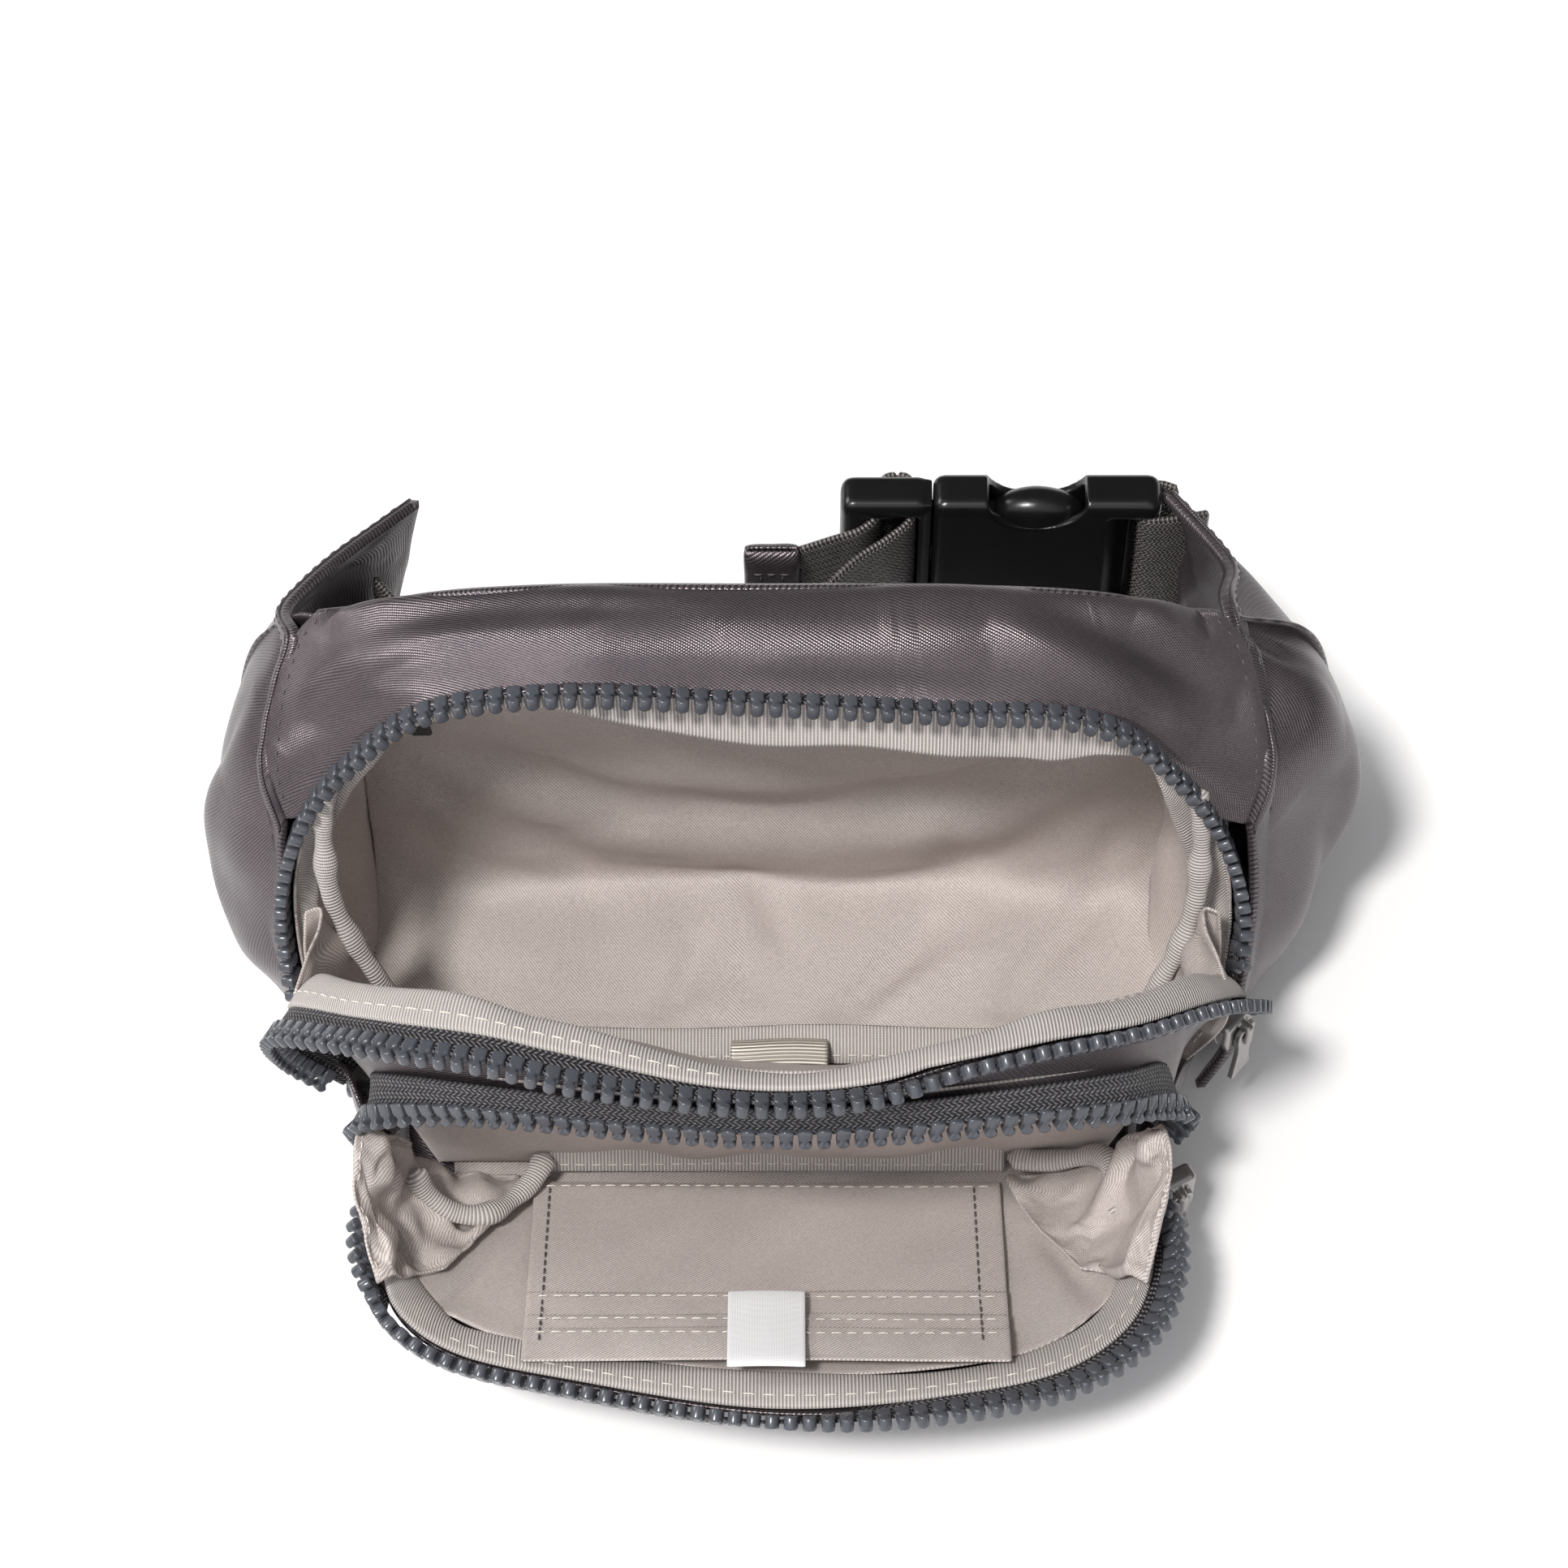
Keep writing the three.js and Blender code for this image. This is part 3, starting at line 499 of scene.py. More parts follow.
def webbing():
    f = Finish("webbing", Roughness=0.3, Specular_IOR_Level=0.7)
    f.shader.inputs["Specular Tint"].default_value = (1.0, 0.95, 0.92, 1)
    height = herringbone_height(f, 1.05, 1.3, 0.9)
    # The herringbone runs from dark to light yarn. Its sparse bright flecks are painted glints of the shiny
    # yarn.
    colour = f.colour(varied_tone_and_sheen(f, height, 420, 0.3), (0.022, 0.019, 0.020), (0.46, 0.42, 0.40), 0.25, 0.9)
    return f.finish(colour, height, 0.5)


def grained(name, low, high, tone_scale, grain_scale, grain_detail, depth_mm, **shader):
    """A moulded or cast surface: two near tones, and a fine grain."""
    f = Finish(name, **shader)
    grain = f.noise(grain_scale, grain_detail)
    return f.finish(f.colour(f.noise(tone_scale), low, high), grain, depth_mm, 0.4)


def zip_teeth():
    return grained("zip_teeth", (0.050, 0.054, 0.065), (0.086, 0.091, 0.106), 120, 900, 2, 0.03,
                   Roughness=0.24, Specular_IOR_Level=0.55)


def buckle_plastic():
    return grained("buckle_plastic", (0.003, 0.003, 0.0033), (0.008, 0.008, 0.0085), 90, 1400, 3, 0.02,
                   Roughness=0.26, Specular_IOR_Level=0.38)


def slider_metal():
    return grained("slider_metal", (0.30, 0.285, 0.28), (0.42, 0.40, 0.39), 150, 700, 3, 0.03,
                   Metallic=0.85, Roughness=0.36)


def metallic_ribbon():
    f = Finish("metallic_ribbon", Metallic=0.45, Roughness=0.34)
    height = f.wave(*f.weave(), 0.9, 90)
    return f.finish(f.colour(height, (0.30, 0.27, 0.23), (0.78, 0.74, 0.66)), height, 0.2)


def woven_label():
    f = Finish("woven_label", Roughness=0.55)
    u, v = f.weave()
    height = f.math("MULTIPLY", f.wave(u, v, 0.35, 0), f.wave(u, v, 0.35, 90))
    return f.finish(f.colour(height, (0.80, 0.80, 0.81), (0.93, 0.93, 0.93)), height, 0.06)


def leash_tape():
    f = Finish("leash_tape", Roughness=0.5)
    height = f.wave(*f.weave(), 0.6, 0)
    return f.finish(f.colour(height, (0.008, 0.008, 0.009), (0.035, 0.034, 0.036)), height, 0.15)


def thread():
    f = Finish("thread", Roughness=0.45)
    return f.finish(f.colour(f.noise(600), (0.50, 0.47, 0.42), (0.74, 0.71, 0.65)))


def dark_thread():
    f = Finish("dark_thread", Roughness=0.5)
    return f.finish(f.colour(f.noise(600), (0.05, 0.045, 0.05), (0.12, 0.105, 0.105)))


SHELL = shell_twill()
LINING = lining()
RIBBON = ribbed_ribbon()
TEETH = zip_teeth()
TAPE = zip_tape()
WEBBING = webbing()
PLASTIC = buckle_plastic()
METAL = slider_metal()
SATIN = metallic_ribbon()
LABEL = woven_label()
LEASH = leash_tape()
THREAD = thread()
DARK_THREAD = dark_thread()


# ---- camera, floor and lights ----
SENSOR = 36                 # the camera's sensor width
FRAME_WIDTH = 0.3632        # metres that the picture spans at the target's distance
CAMERA_DISTANCE = 1.1
CAMERA_ELEVATION = math.radians(60)
FLOOR_HALF = 6.0


def look_from(obj, place, target):
    """Stands a camera or a light at a place, turned towards a target."""
    obj.location = place
    obj.rotation_euler = (target - place).to_track_quat("-Z", "Y").to_euler()


def studio():
    scene = bpy.context.scene
    scene.view_settings.view_transform = "Standard"
    camera = bpy.data.objects.new("camera", bpy.data.cameras.new("camera"))
    scene.collection.objects.link(camera)
    target = Vector((0.0049, -0.006, 0.060))
    back = Vector((0, -math.cos(CAMERA_ELEVATION), math.sin(CAMERA_ELEVATION)))
    look_from(camera, target + CAMERA_DISTANCE * back, target)
    camera.data.sensor_width = SENSOR
    camera.data.lens = SENSOR * CAMERA_DISTANCE / FRAME_WIDTH
    camera.data.clip_end = 20
    scene.camera = camera

    floor_mesh = bpy.data.meshes.new("floor")
    corners = [(x * FLOOR_HALF, y * FLOOR_HALF, 0) for x, y in ((-1, -1), (1, -1), (1, 1), (-1, 1))]
    floor_mesh.from_pydata(corners, [], [(0, 1, 2, 3)])
    floor = bpy.data.objects.new("floor", floor_mesh)
    scene.collection.objects.link(floor)
    f = Finish("floor", Roughness=0.9, Specular_IOR_Level=0.1)
    floor_mesh.materials.append(f.finish(f.colour(f.noise(2.0), (0.86, 0.855, 0.85), (0.88, 0.875, 0.872))))

    sun = bpy.data.lights.new("key", "SUN")
    sun.angle = math.radians(9)
    sun.energy = 2.8
    sun.color = (1, 0.985, 0.97)
    key = bpy.data.objects.new("key", sun)
    scene.collection.objects.link(key)
    look_from(key, Vector((-0.28, -0.30, 0.91)), Vector((0, 0, 0)))
    panel = bpy.data.lights.new("left_panel", "AREA")
    panel.shape = "DISK"
    panel.size = 0.7
    panel.energy = 11
    side = bpy.data.objects.new("left_panel", panel)
    scene.collection.objects.link(side)
    look_from(side, Vector((-1.3, 0.5, 1.1)), target)
    world = bpy.data.worlds.new("studio")
    scene.world = world
    world.use_nodes = True
    # One wide soft box in front of the bag in a dimmer room gives satin its light and dark tones.
    nodes = world.node_tree.nodes
    links = world.node_tree.links
    place = nodes.new("ShaderNodeTexCoord")
    facing = nodes.new("ShaderNodeVectorMath")
    facing.operation = "DOT_PRODUCT"
    facing.inputs[1].default_value = Vector((-0.25, -0.72, 0.65)).normalized()
    shade = nodes.new("ShaderNodeMapRange")
    shade.interpolation_type = "SMOOTHSTEP"
    for socket, value in zip(shade.inputs[1:5], (0.42, 0.86, 0.12, 1.05)):
        socket.default_value = value
    links.new(place.outputs["Generated"], facing.inputs[0])
    links.new(facing.outputs["Value"], shade.inputs[0])
    links.new(shade.outputs[0], nodes["Background"].inputs[1])
    nodes["Background"].inputs[0].default_value = (0.97, 0.975, 1.0, 1)


studio()


# ---- zips ----
def tooth():
    """One moulded tooth: a square body on the tape, a neck and an anchor-shaped head towards +Y."""
    half = [(1.50, -3.0), (1.56, -2.0), (1.56, -0.9), (1.50, -0.05), (1.02, 0.22), (0.78, 0.75),
            (0.98, 1.22), (1.38, 1.55), (1.46, 2.05), (1.12, 2.6), (0.6, 2.92), (0.0, 3.0)]
    outline = np.array([(0, -3.05)] + half + [(-x, y) for x, y in half[-2::-1]])
    edge = np.roll(outline, -1, 0) - np.roll(outline, 1, 0)
    inward = unit(np.stack([-edge[:, 1], edge[:, 0]], 1))
    level = TOOTH_THICK / 2
    rings = []
    for inset, z in [(0.55, -1), (0.14, -0.94), (0, -0.72), (0, 0.72), (0.14, 0.94), (0.55, 1)]:
        ring = outline + inward * inset * np.minimum(1, np.abs(outline[:, :1]) + 0.35)
        dip = 1 - 0.16 * np.exp(-((ring[:, 1] - 0.55) / 0.55) ** 2)
        rings.append(np.column_stack([ring, z * level * dip]))
    n = len(outline)
    faces = tube_faces(len(rings), n)
    last = (len(rings) - 1) * n
    faces.append(tuple(range(n - 1, -1, -1)))
    faces.append(tuple(last + i for i in range(n)))
    return np.concatenate(rings), faces


STITCH_SINK = 0.05          # how deep a stitch's ends sit in the cloth
STITCH_SIDES = 6


def stitches(name, path, normal, pitch, length, radius, material=THREAD):
    """A row of stitches along a path: short rounded threads that lie on the cloth."""
    line = np.asarray(path, float)
    total = lengths(line)[-1]
    count = max(1, int(total / pitch))
    s = (np.arange(count) + 0.5) * total / count
    pick = at_length(line, s)
    origin = pick(line)
    along = unit(pick(np.gradient(line, axis=0)))
    up = pick(np.broadcast_to(normal, line.shape)) if np.ndim(normal) == 1 else pick(normal)
    up = sideways(up, along)
    sections = [(-0.5, 0.25), (-0.42, 0.8), (-0.2, 1.0), (0.2, 1.0), (0.42, 0.8), (0.5, 0.25)]
    n = STITCH_SIDES
    verts = []
    for x, r in sections:
        arch = radius * 0.7 * (1 - (2 * x) ** 2) - STITCH_SINK
        for k in range(n):
            a = 2 * math.pi / n * k
            verts.append((x * length, r * radius * math.cos(a), r * radius * math.sin(a) + arch))
    faces = [quad[::-1] for quad in tube_faces(len(sections), n)]
    faces += [tuple(range(n)), tuple(range(len(verts) - 1, len(verts) - 1 - n, -1))]
    return copies(name, verts, faces, origin, along, np.cross(up, along), up, material)


def finish_piece(obj, body=None, replaces=(), blend=None):
    """Ties a piece to its body and hides the nodes that it stands for. A piece given a blend is tied to no
    body: its place is baked into its mesh.
    """
    if blend:
        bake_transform(obj)
    else:
        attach(obj, body)
    if replaces:
        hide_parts(*replaces)
    return obj


# Each bend: the two bodies, and the two places between which cloth goes over from the first to the second.
MAIN_BEND = ("rear_body", "front_compartment", Vector((0, -46, 4)) * MM, Vector((0, -104, 92)) * MM)
BASE_BEND = ("rear_body", "front_compartment", Vector((0, -44.5, 3.5)) * MM, Vector((0, -45.5, 12)) * MM)
POCKET_BEND = ("front_compartment", "pocket_flap", Vector((0, -91, 11)) * MM, Vector((0, -130, 33)) * MM)
WEB_BEND = ("rear_body", "buckle_male", Vector((-80, 26, 70)) * MM, Vector((22, 37.5, 70)) * MM)

rear_rim = smooth(REAR_RIM, RIM_SAMPLES)
front_rim = smooth(FRONT_RIM, RIM_SAMPLES)
front_seam = smooth(FRONT_SEAM, RIM_SAMPLES)
pocket_rim = smooth(POCKET_RIM, RIM_SAMPLES)
pocket_seam = smooth(POCKET_SEAM, RIM_SAMPLES)
flap_rim = smooth(FLAP_RIM, RIM_SAMPLES)
flap_seam = smooth(FLAP_SEAM, RIM_SAMPLES)
rim_share = np.linspace(0, 1, RIM_SAMPLES)[:, None]


def zip_half(row, rim, heads, offset=0.0, body=None, blend=None):
    """A row of teeth on a rim, and the tape behind them. heads points from tape to teeth along the rim."""
    total = lengths(rim)[-1]
    count = int((total - 1.0) / TOOTH_PITCH)
    s = (total - count * TOOTH_PITCH) / 2 + TOOTH_PITCH * (np.arange(count) + 0.5 + offset)
    pick = at_length(rim, s[s < total - 0.5])
    tangent = unit(np.gradient(rim, axis=0))
    along = unit(pick(np.gradient(rim, axis=0)))
    across = sideways(pick(heads), along)
    teeth = copies(f"{row}_zip_teeth", *tooth(), pick(rim), along, across, np.cross(along, across), TEETH)
    heads = sideways(heads, tangent)
    lines = [rim - heads * back for back in (1.0, 2.9, 4.2, 6.2, TAPE_EDGE + 1.2)]
    tape = sheet(f"{row}_zip_tape_cloth", between(lines, 12), TAPE_THICK, TAPE)
    finish_piece(teeth, body, [f"{row}_zip_chain"], blend)
    finish_piece(tape, body, [f"{row}_zip_tape"], blend)


def rear_row_heads(rim):
    """The rear row's teeth point forwards along the top, and turn outwards and level down the sides."""
    side = np.clip(rim[:, :1] / 108, -1, 1) ** 3
    return unit(np.hstack([1.5 * side, np.full_like(side, -10), 4 - 4 * np.abs(side)]))


zip_half("rear", rear_rim, rear_row_heads(rear_rim), body="rear_body")

# Right of its middle the front row stands up, and left of it the row is folded outwards.
stand = step(rim_share, 0.50, 0.60)
corner = step(rim_share, 0.74, 0.86)
upright = unit(np.hstack([0.9 * corner, -0.35 + 0.1 * corner, 0.94 - 0.55 * corner]))
front_heads = unit(unit(front_rim - front_seam) * (1 - stand) + upright * stand)
zip_half("front", front_rim, front_heads, 0.5, blend=MAIN_BEND)

zip_half("pocket", pocket_rim, unit(pocket_rim - pocket_seam), body="front_compartment")

# The flap's row curls up left of its middle.
curl = step(rim_share, 0.10, 0.18) * (1 - step(rim_share, 0.46, 0.60))
flap_heads = unit(unit(flap_rim - flap_seam) * (1 - curl) + np.array([0, -0.25, 0.97]) * curl)
zip_half("flap", flap_rim, flap_heads, 0.5, blend=POCKET_BEND)


# ---- ribbon bindings ----
def line_tools(rim, seam):
    """Directions at each point of a rim: out, away from the seam, and up, off the ribbon's upper face."""
    out = unit(rim - seam)
    return out, unit(np.cross(out, unit(np.gradient(rim, axis=0))))


def to_viewer(up):
    """The same normals, turned to the side that is seen from the front and above."""
    return np.where(up @ np.array([0, -0.5, 0.87])[:, None] < 0, -up, up)


def row_binding(row, near, far, out, up, crown, tuck, sewn_row, sewn_part, thread, blend):
    """The ribbon from a tape's edge, near, to a seam, far. Its inner edge turns down, under a thread."""
    middle = (near + far) / 2 + up * crown
    inner = far - out * 0.6 - up * tuck
    grid = between([near, middle, far, inner], 14)
    ribbon = sheet(f"{row}_binding_ribbon", grid, RIBBON_THICK, RIBBON)
    up = to_viewer(normals(grid)[sewn_row])
    sewn = slice(*(int(share * RIM_SAMPLES) for share in sewn_part))
    path = grid[sewn_row] + up * (RIBBON_THICK / 2 + 0.1)
    seam = stitches(f"{row}_binding_stitches", path[sewn], up[sewn], *thread)
    finish_piece(ribbon, replaces=[f"{row}_binding"], blend=blend)
    finish_piece(seam, blend=blend)


# In its middle the front row's ribbon is narrower and lies close to the teeth, and the divider's top with it.
dip = 1 - step(np.abs(front_rim[:, :1] - 6), 14, 52)
front_inner = front_seam + (front_rim - front_seam) * 0.27 * dip


def front_binding():
    out, up = line_tools(front_rim, front_seam)
    near = front_rim - out * (TAPE_EDGE - 3.6 * np.maximum(stand, dip)) + up * (0.3 + 0.8 * dip)
    wave = 0.7 * np.sin(rim_share * 61) + 0.5 * np.sin(rim_share * 23 + 1)
    far = front_inner + up * wave
    row_binding("front", near, far, out, up, 0.6, 1.2, 3, (0.06, 0.46), (4.2, 3.0, 0.26), MAIN_BEND)


def flap_binding():
    out, up = line_tools(flap_rim, flap_seam)
    near = flap_rim - out * (TAPE_EDGE - 1.6 - 1.8 * curl) + up * 0.3
    wave = 0.5 * np.sin(rim_share * 40) + 0.4 * np.sin(rim_share * 17)
    far = flap_seam + up * wave
    row_binding("flap", near, far, out, up, 0.7, 1.0, 2, (0.3, 0.9), (4.4, 2.8, 0.2), POCKET_BEND)


front_binding()
flap_binding()


def rear_binding():
    """The ribbon inside the rear row. It leans into the opening, and its width comes and goes."""
    widths = [3, 3.5, 4, 4.5, 5, 5.5, 6, 6, 6, 5.5, 5, 4, 3, 3.5, 5, 10, 13, 10.5, 13, 14.5, 14, 12, 8, 5, 4,
              5.5, 8, 9.5, 9.5, 8, 6.5, 5, 4.5, 4, 3]
    width = smooth([(w, 0, 0) for w in widths], RIM_SAMPLES)[:, :1]
    side = np.clip(np.abs(rear_rim[:, :1]) / 108, 0, 1) ** 4
    sign = np.sign(rear_rim[:, :1])
    top = rear_rim + np.hstack([-2.8 * sign * side, 4.6 - 1.6 * side, -3.2 + 2.6 * side])
    inward = unit(np.hstack([-0.9 * sign * side, -0.50 + 1.0 * side, -0.87 + 0.75 * side]))
    backwards = np.array([0.0, 1, 0])
    sway = (0.9 * np.sin(rim_share * 47) + 0.5 * np.sin(rim_share * 83)) * backwards
    belly = 1.6 * (1 - side) * backwards
    lower = top + inward * width + sway
    middle = (top + lower) / 2 + belly + sway * 0.4
    hem = lower + np.array([0, 1.4, 0.3])
    return sheet("rear_binding_ribbon", between([hem, lower, middle, top], 20), 1.1, RIBBON)


finish_piece(rear_binding(), "rear_body", ["rear_binding"])


# ---- outer cloth ----
LEFT_SEAM = [(-108.8, -28.5, 84), (-111, -22, 93.5), (-110.2, -14, 99.5), (-107.5, -5, 106.3),
             (-104.5, 2, 112), (-99, 6, 116)]
RIGHT_SEAM = [(110.5, -29, 83), (113.3, -22, 94.5), (112.3, -13, 100.2), (110.3, -5.5, 104.2),
              (107.3, 3.5, 109.8), (102, 7, 114)]
BAND_BACK = [(-99, 6, 116), (-84, 6.6, 122.5), (-52, 7, 127), (0, 7, 127.4), (42, 7, 127.4),
             (66, 7, 126), (86, 6.8, 121), (102, 7, 114)]
BAND_SHARE = (0.222, 0.773)       # the part of the rear rim that the band covers


def top_band():
    """The band from the rear row over the top to the back panel. Its ends run along the wings' seams."""
    along = 96
    rim = smooth(REAR_RIM, along, *BAND_SHARE)
    heads = rear_row_heads(rim)
    up = unit(np.cross(heads, np.gradient(rim, axis=0)))
    up = np.where(up[:, 2:] < 0, -up, up)
    tuck = rim - heads * 1.9 + up * 0.3
    edge = rim - heads * 1.5 + up * 1.5
    lip = rim - heads * 3.2 + up * 2.5
    back = smooth(BAND_BACK, along)
    low = (lip * 0.68 + back * 0.32) + np.array([0, -1.0, 2.6])
    crown = (lip * 0.34 + back * 0.66) + np.array([0, -0.6, 3.4])
    down = back + np.array([0, 1.6, -6])
    ends = [smooth(s, 5) for s in (LEFT_SEAM, RIGHT_SEAM)]
    rows = [tuck, edge, lip, low, crown, back, down]
    for i, seam_points in zip((0, -1), ends):
        for row, k in zip((2, 3, 4, 5), (0, 1, 3, 4)):
            offset = seam_points[k] - rows[row][i]
            reach = np.arange(along) if i == 0 else np.arange(along)[::-1]
            rows[row] = rows[row] + offset * np.exp(-(reach / 7.0) ** 2)[:, None]
    grid = refined(settled(between(rows, 34), 0.008, reach=2.5, bend=2.0, melt=6), 100, 240)
    return ripple(folded(grid, BAND_FOLDS), 46, 0.5, 3)


# Soft ridges and valleys that run from the band's ends towards its middle.
BAND_FOLDS = [
    ([(-109, -14, 99.5), (-99.6, -10, 107), (-82.7, -6, 117.6), (-52, -3, 123)], 4.6, 1.9),
    ([(-108, -19, 97), (-98, -13.5, 104.5), (-83, -9.5, 115), (-50, -9, 121)], 4.2, -1.6),
    ([(-109.8, -24, 92), (-101.5, -18, 102), (-88.4, -14, 113), (-56, -13, 120)], 4.0, 1.3),
    ([(-92, 0, 118), (-70, 1, 124.5), (-40, 0, 126), (-10, -2, 126)], 5.5, -1.5),
    ([(58, 4, 127), (75.2, -3, 122), (90.2, -6, 112), (103, -8, 104)], 5.5, -2.0),
    ([(50, -2, 126), (66, -8, 121.5), (84, -13, 112), (98, -18, 102)], 5.5, 1.6),
    ([(84, 4, 121), (97, 0, 113), (107, -6, 105)], 5.0, 1.6),
    ([(-30, -8, 124), (15, -10, 123), (50, -9, 123)], 7.0, 1.2),
    ([(-20, -15, 122), (25, -16, 121), (62, -15, 119)], 4.6, -1.1),
]
band_grid = top_band()
finish_piece(sheet("top_band_cloth", band_grid, SHELL_THICK, SHELL), "rear_body", ["top_band"])
for which, column in (("left", 5), ("right", -6)):
    path = band_grid[20:88, column]
    up = normals(band_grid)[20:88, column]
    row = stitches(f"band_{which}_stitches", path + up * 0.62, up, 3.4, 1.2, 0.24, DARK_THREAD)
    finish_piece(row, "rear_body")

WING_LEFT = [
    [(-98, -57, 9), (-106.5, -49.5, 28), (-111.8, -40.2, 48), (-110.4, -34.4, 67), (-108.9, -31.4, 77),
     (-107.4, -29.6, 83)],
    [(-106, -46, 3.5), (-119, -37, 22), (-125, -31, 45), (-123, -27, 68), (-117.5, -24.5, 84),
     (-111, -22, 93.5)],
    [(-111, -32, 3), (-122.5, -29, 20), (-128.5, -25, 47), (-126, -20, 73), (-119, -16.5, 91),
     (-110.2, -14, 99.5)],
    [(-113, -18, 3), (-124, -18, 20), (-129, -15, 47), (-126.5, -12, 76), (-118, -8, 97),
     (-107.5, -5, 106.3)],
    [(-113, -2, 4), (-122.5, -3, 22), (-127, -2, 48), (-124.5, -1, 77), (-115.5, 1, 99), (-104.5, 2, 112)],
    [(-110, 14, 12), (-117, 13, 28), (-121, 12, 50), (-119.5, 12, 76), (-114, 12, 97), (-107.5, 12, 107)],
    [(-100, 32, 34), (-105, 31, 45), (-107.5, 30.5, 60), (-107.5, 30, 77), (-104, 29, 92), (-99, 28, 100.5)],
    [(-88, 46.5, 50), (-87.6, 47.5, 58), (-86.6, 48.5, 68), (-84.8, 49, 78), (-82.6, 49.3, 87),
     (-80.5, 49.3, 94)],
]
WING_RIGHT = [
    [(103, -57, 7), (109, -54, 24), (111.8, -46, 44), (112.4, -36, 66), (111.2, -32, 76), (109.6, -29.8, 83)],
    [(111, -43, 4), (121, -36, 22), (127, -29, 46), (125.5, -24, 68), (120.5, -23, 83), (113.3, -22, 94.5)],
    [(114.5, -30, 3), (126, -25, 21), (133, -18.5, 49), (131, -14, 75), (124, -13, 92), (112.3, -13, 100.2)],
    [(116, -14, 3), (129, -12, 21), (137, -7, 50), (135.5, -3, 78), (127.5, -4, 97), (110.3, -5.5, 104.2)],
    [(115.5, 3, 5), (128.5, 5, 22), (135.5, 8, 50), (133.5, 10, 79), (125.5, 8, 98), (107.3, 3.5, 109.8)],
    [(113, 18, 17), (121, 20, 32), (126, 22, 55), (125, 23, 76), (119, 21, 94), (104.5, 15, 108)],
    [(107, 34, 31), (112, 34, 43), (115, 34, 60), (114.5, 33.5, 77), (112, 32, 92), (106.5, 31, 97.5)],
    [(98, 49.5, 50), (98.8, 50, 58), (99.4, 50.5, 68), (99.4, 50.8, 78), (98.2, 51.2, 87),
     (93.6, 52.5, 92.5)],
]


def wing(rows, folds, seed, flip):
    grid = folded(mirrored(rows, 1, 46, 60, flip), folds)
    return refined(settled(ripple(grid, 36, 1.1, seed), 0.008, reach=3, bend=2.0, melt=4), 120, 130)


def wing_pieces(which, grid, flip):
    """The padded wing, the strip that lies along its seam and hem, and the strip's stitches."""
    pad = sheet(f"wing_{which}_pad", grid, WING_THICK, SHELL)
    finish_piece(pad, "rear_body", [f"wing_{which}"])
    columns = slice(1, 8) if flip else slice(-8, -1)
    up = normals(grid)[:, columns]
    crown = np.array([0.0, 0.12, 0.2, 0.22, 0.2, 0.12, 0.0])[None, :, None]
    strip = grid[:, columns] + up * (1.6 + crown)
    finish_piece(sheet(f"wing_{which}_seam_strip", strip, 0.8, SHELL), "rear_body")
    hem = slice(58, -2)         # the half of the strip that runs along the wing's hem
    for k, at in enumerate((2, 5)):
        path = strip[hem, at] + up[hem, at] * 0.42
        row = stitches(f"wing_{which}_stitches_{k}", path, up[hem, at], 3.2, 2.0, 0.17, DARK_THREAD)
        finish_piece(row, "rear_body")


wing_pieces("left", wing(WING_LEFT, [
    ([(-112, -24, 88), (-124, -22, 60), (-122, -30, 28)], 5, -2.0),
    ([(-126, -14, 80), (-128, -20, 50), (-120, -30, 20)], 5, 2.0),
    ([(-116, -6, 100), (-124, -8, 82), (-127, -6, 60)], 4, -1.6),
    ([(-100, 34, 40), (-103, 31, 62), (-101, 29, 84)], 2.6, 2.2),
    ([(-94, 40, 44), (-96, 38, 62), (-94, 37, 82)], 2.4, -2.2),
], 5, False), False)
wing_pieces("right", wing(WING_RIGHT, [
    ([(104, 8, 111), (118, 4, 102), (132, 0, 88)], 2.4, -2.2),
    ([(120, -22, 80), (130, -14, 54), (124, -28, 24)], 6, -2.2),
    ([(134, -3, 84), (139, -8, 62), (134, -12, 36)], 5, 2.2),
    ([(122, -10, 96), (130, -8, 84), (134, 2, 70)], 5, 1.5),
    ([(108, 30, 44), (111, 33, 66), (109, 31, 88)], 4, -2.6),
], 6, True), True)

# The cloth that closes each wing's seam to the back panel, from the panel out to the wing's inner face.
WING_RETURNS = {
    "left": [
        [(-101, 6.8, 4), (-101.5, 6.8, 26), (-102, 6.8, 50), (-102, 6.8, 76), (-100.5, 6.8, 98),
         (-97, 6.6, 112)],
        [(-107, 9.5, 5), (-111, 9.5, 27), (-113, 9, 50), (-112, 9, 76), (-108, 9.5, 97), (-103, 9, 110)],
        [(-112.5, 11, 9), (-118, 10.5, 27), (-121.5, 9, 50), (-120, 9, 76), (-114.5, 10, 97),
         (-107, 10, 107)],
    ],
    "right": [
        [(101, 6.8, 4), (101.5, 6.8, 26), (102, 6.8, 50), (102, 6.8, 76), (100.5, 6.8, 98), (97, 6.6, 112)],
        [(109, 10, 6), (116, 11, 27), (119, 12, 52), (118, 12, 77), (112, 11, 96), (103, 9, 109)],
        [(115, 10, 9), (126, 12, 26), (131.5, 14, 52), (130, 15, 77), (123, 14, 96), (106, 9, 109)],
    ],
}
for which, rows in WING_RETURNS.items():
    cloth = sheet(f"wing_{which}_return_cloth", ripple(loft(rows, 60, 24), 24, 0.5, 9), SHELL_THICK, SHELL)
    finish_piece(cloth, "rear_body")

DIVIDER = (3.2 / 17, 13.6 / 17)      # the part of the front rim that the divider and the strip cover


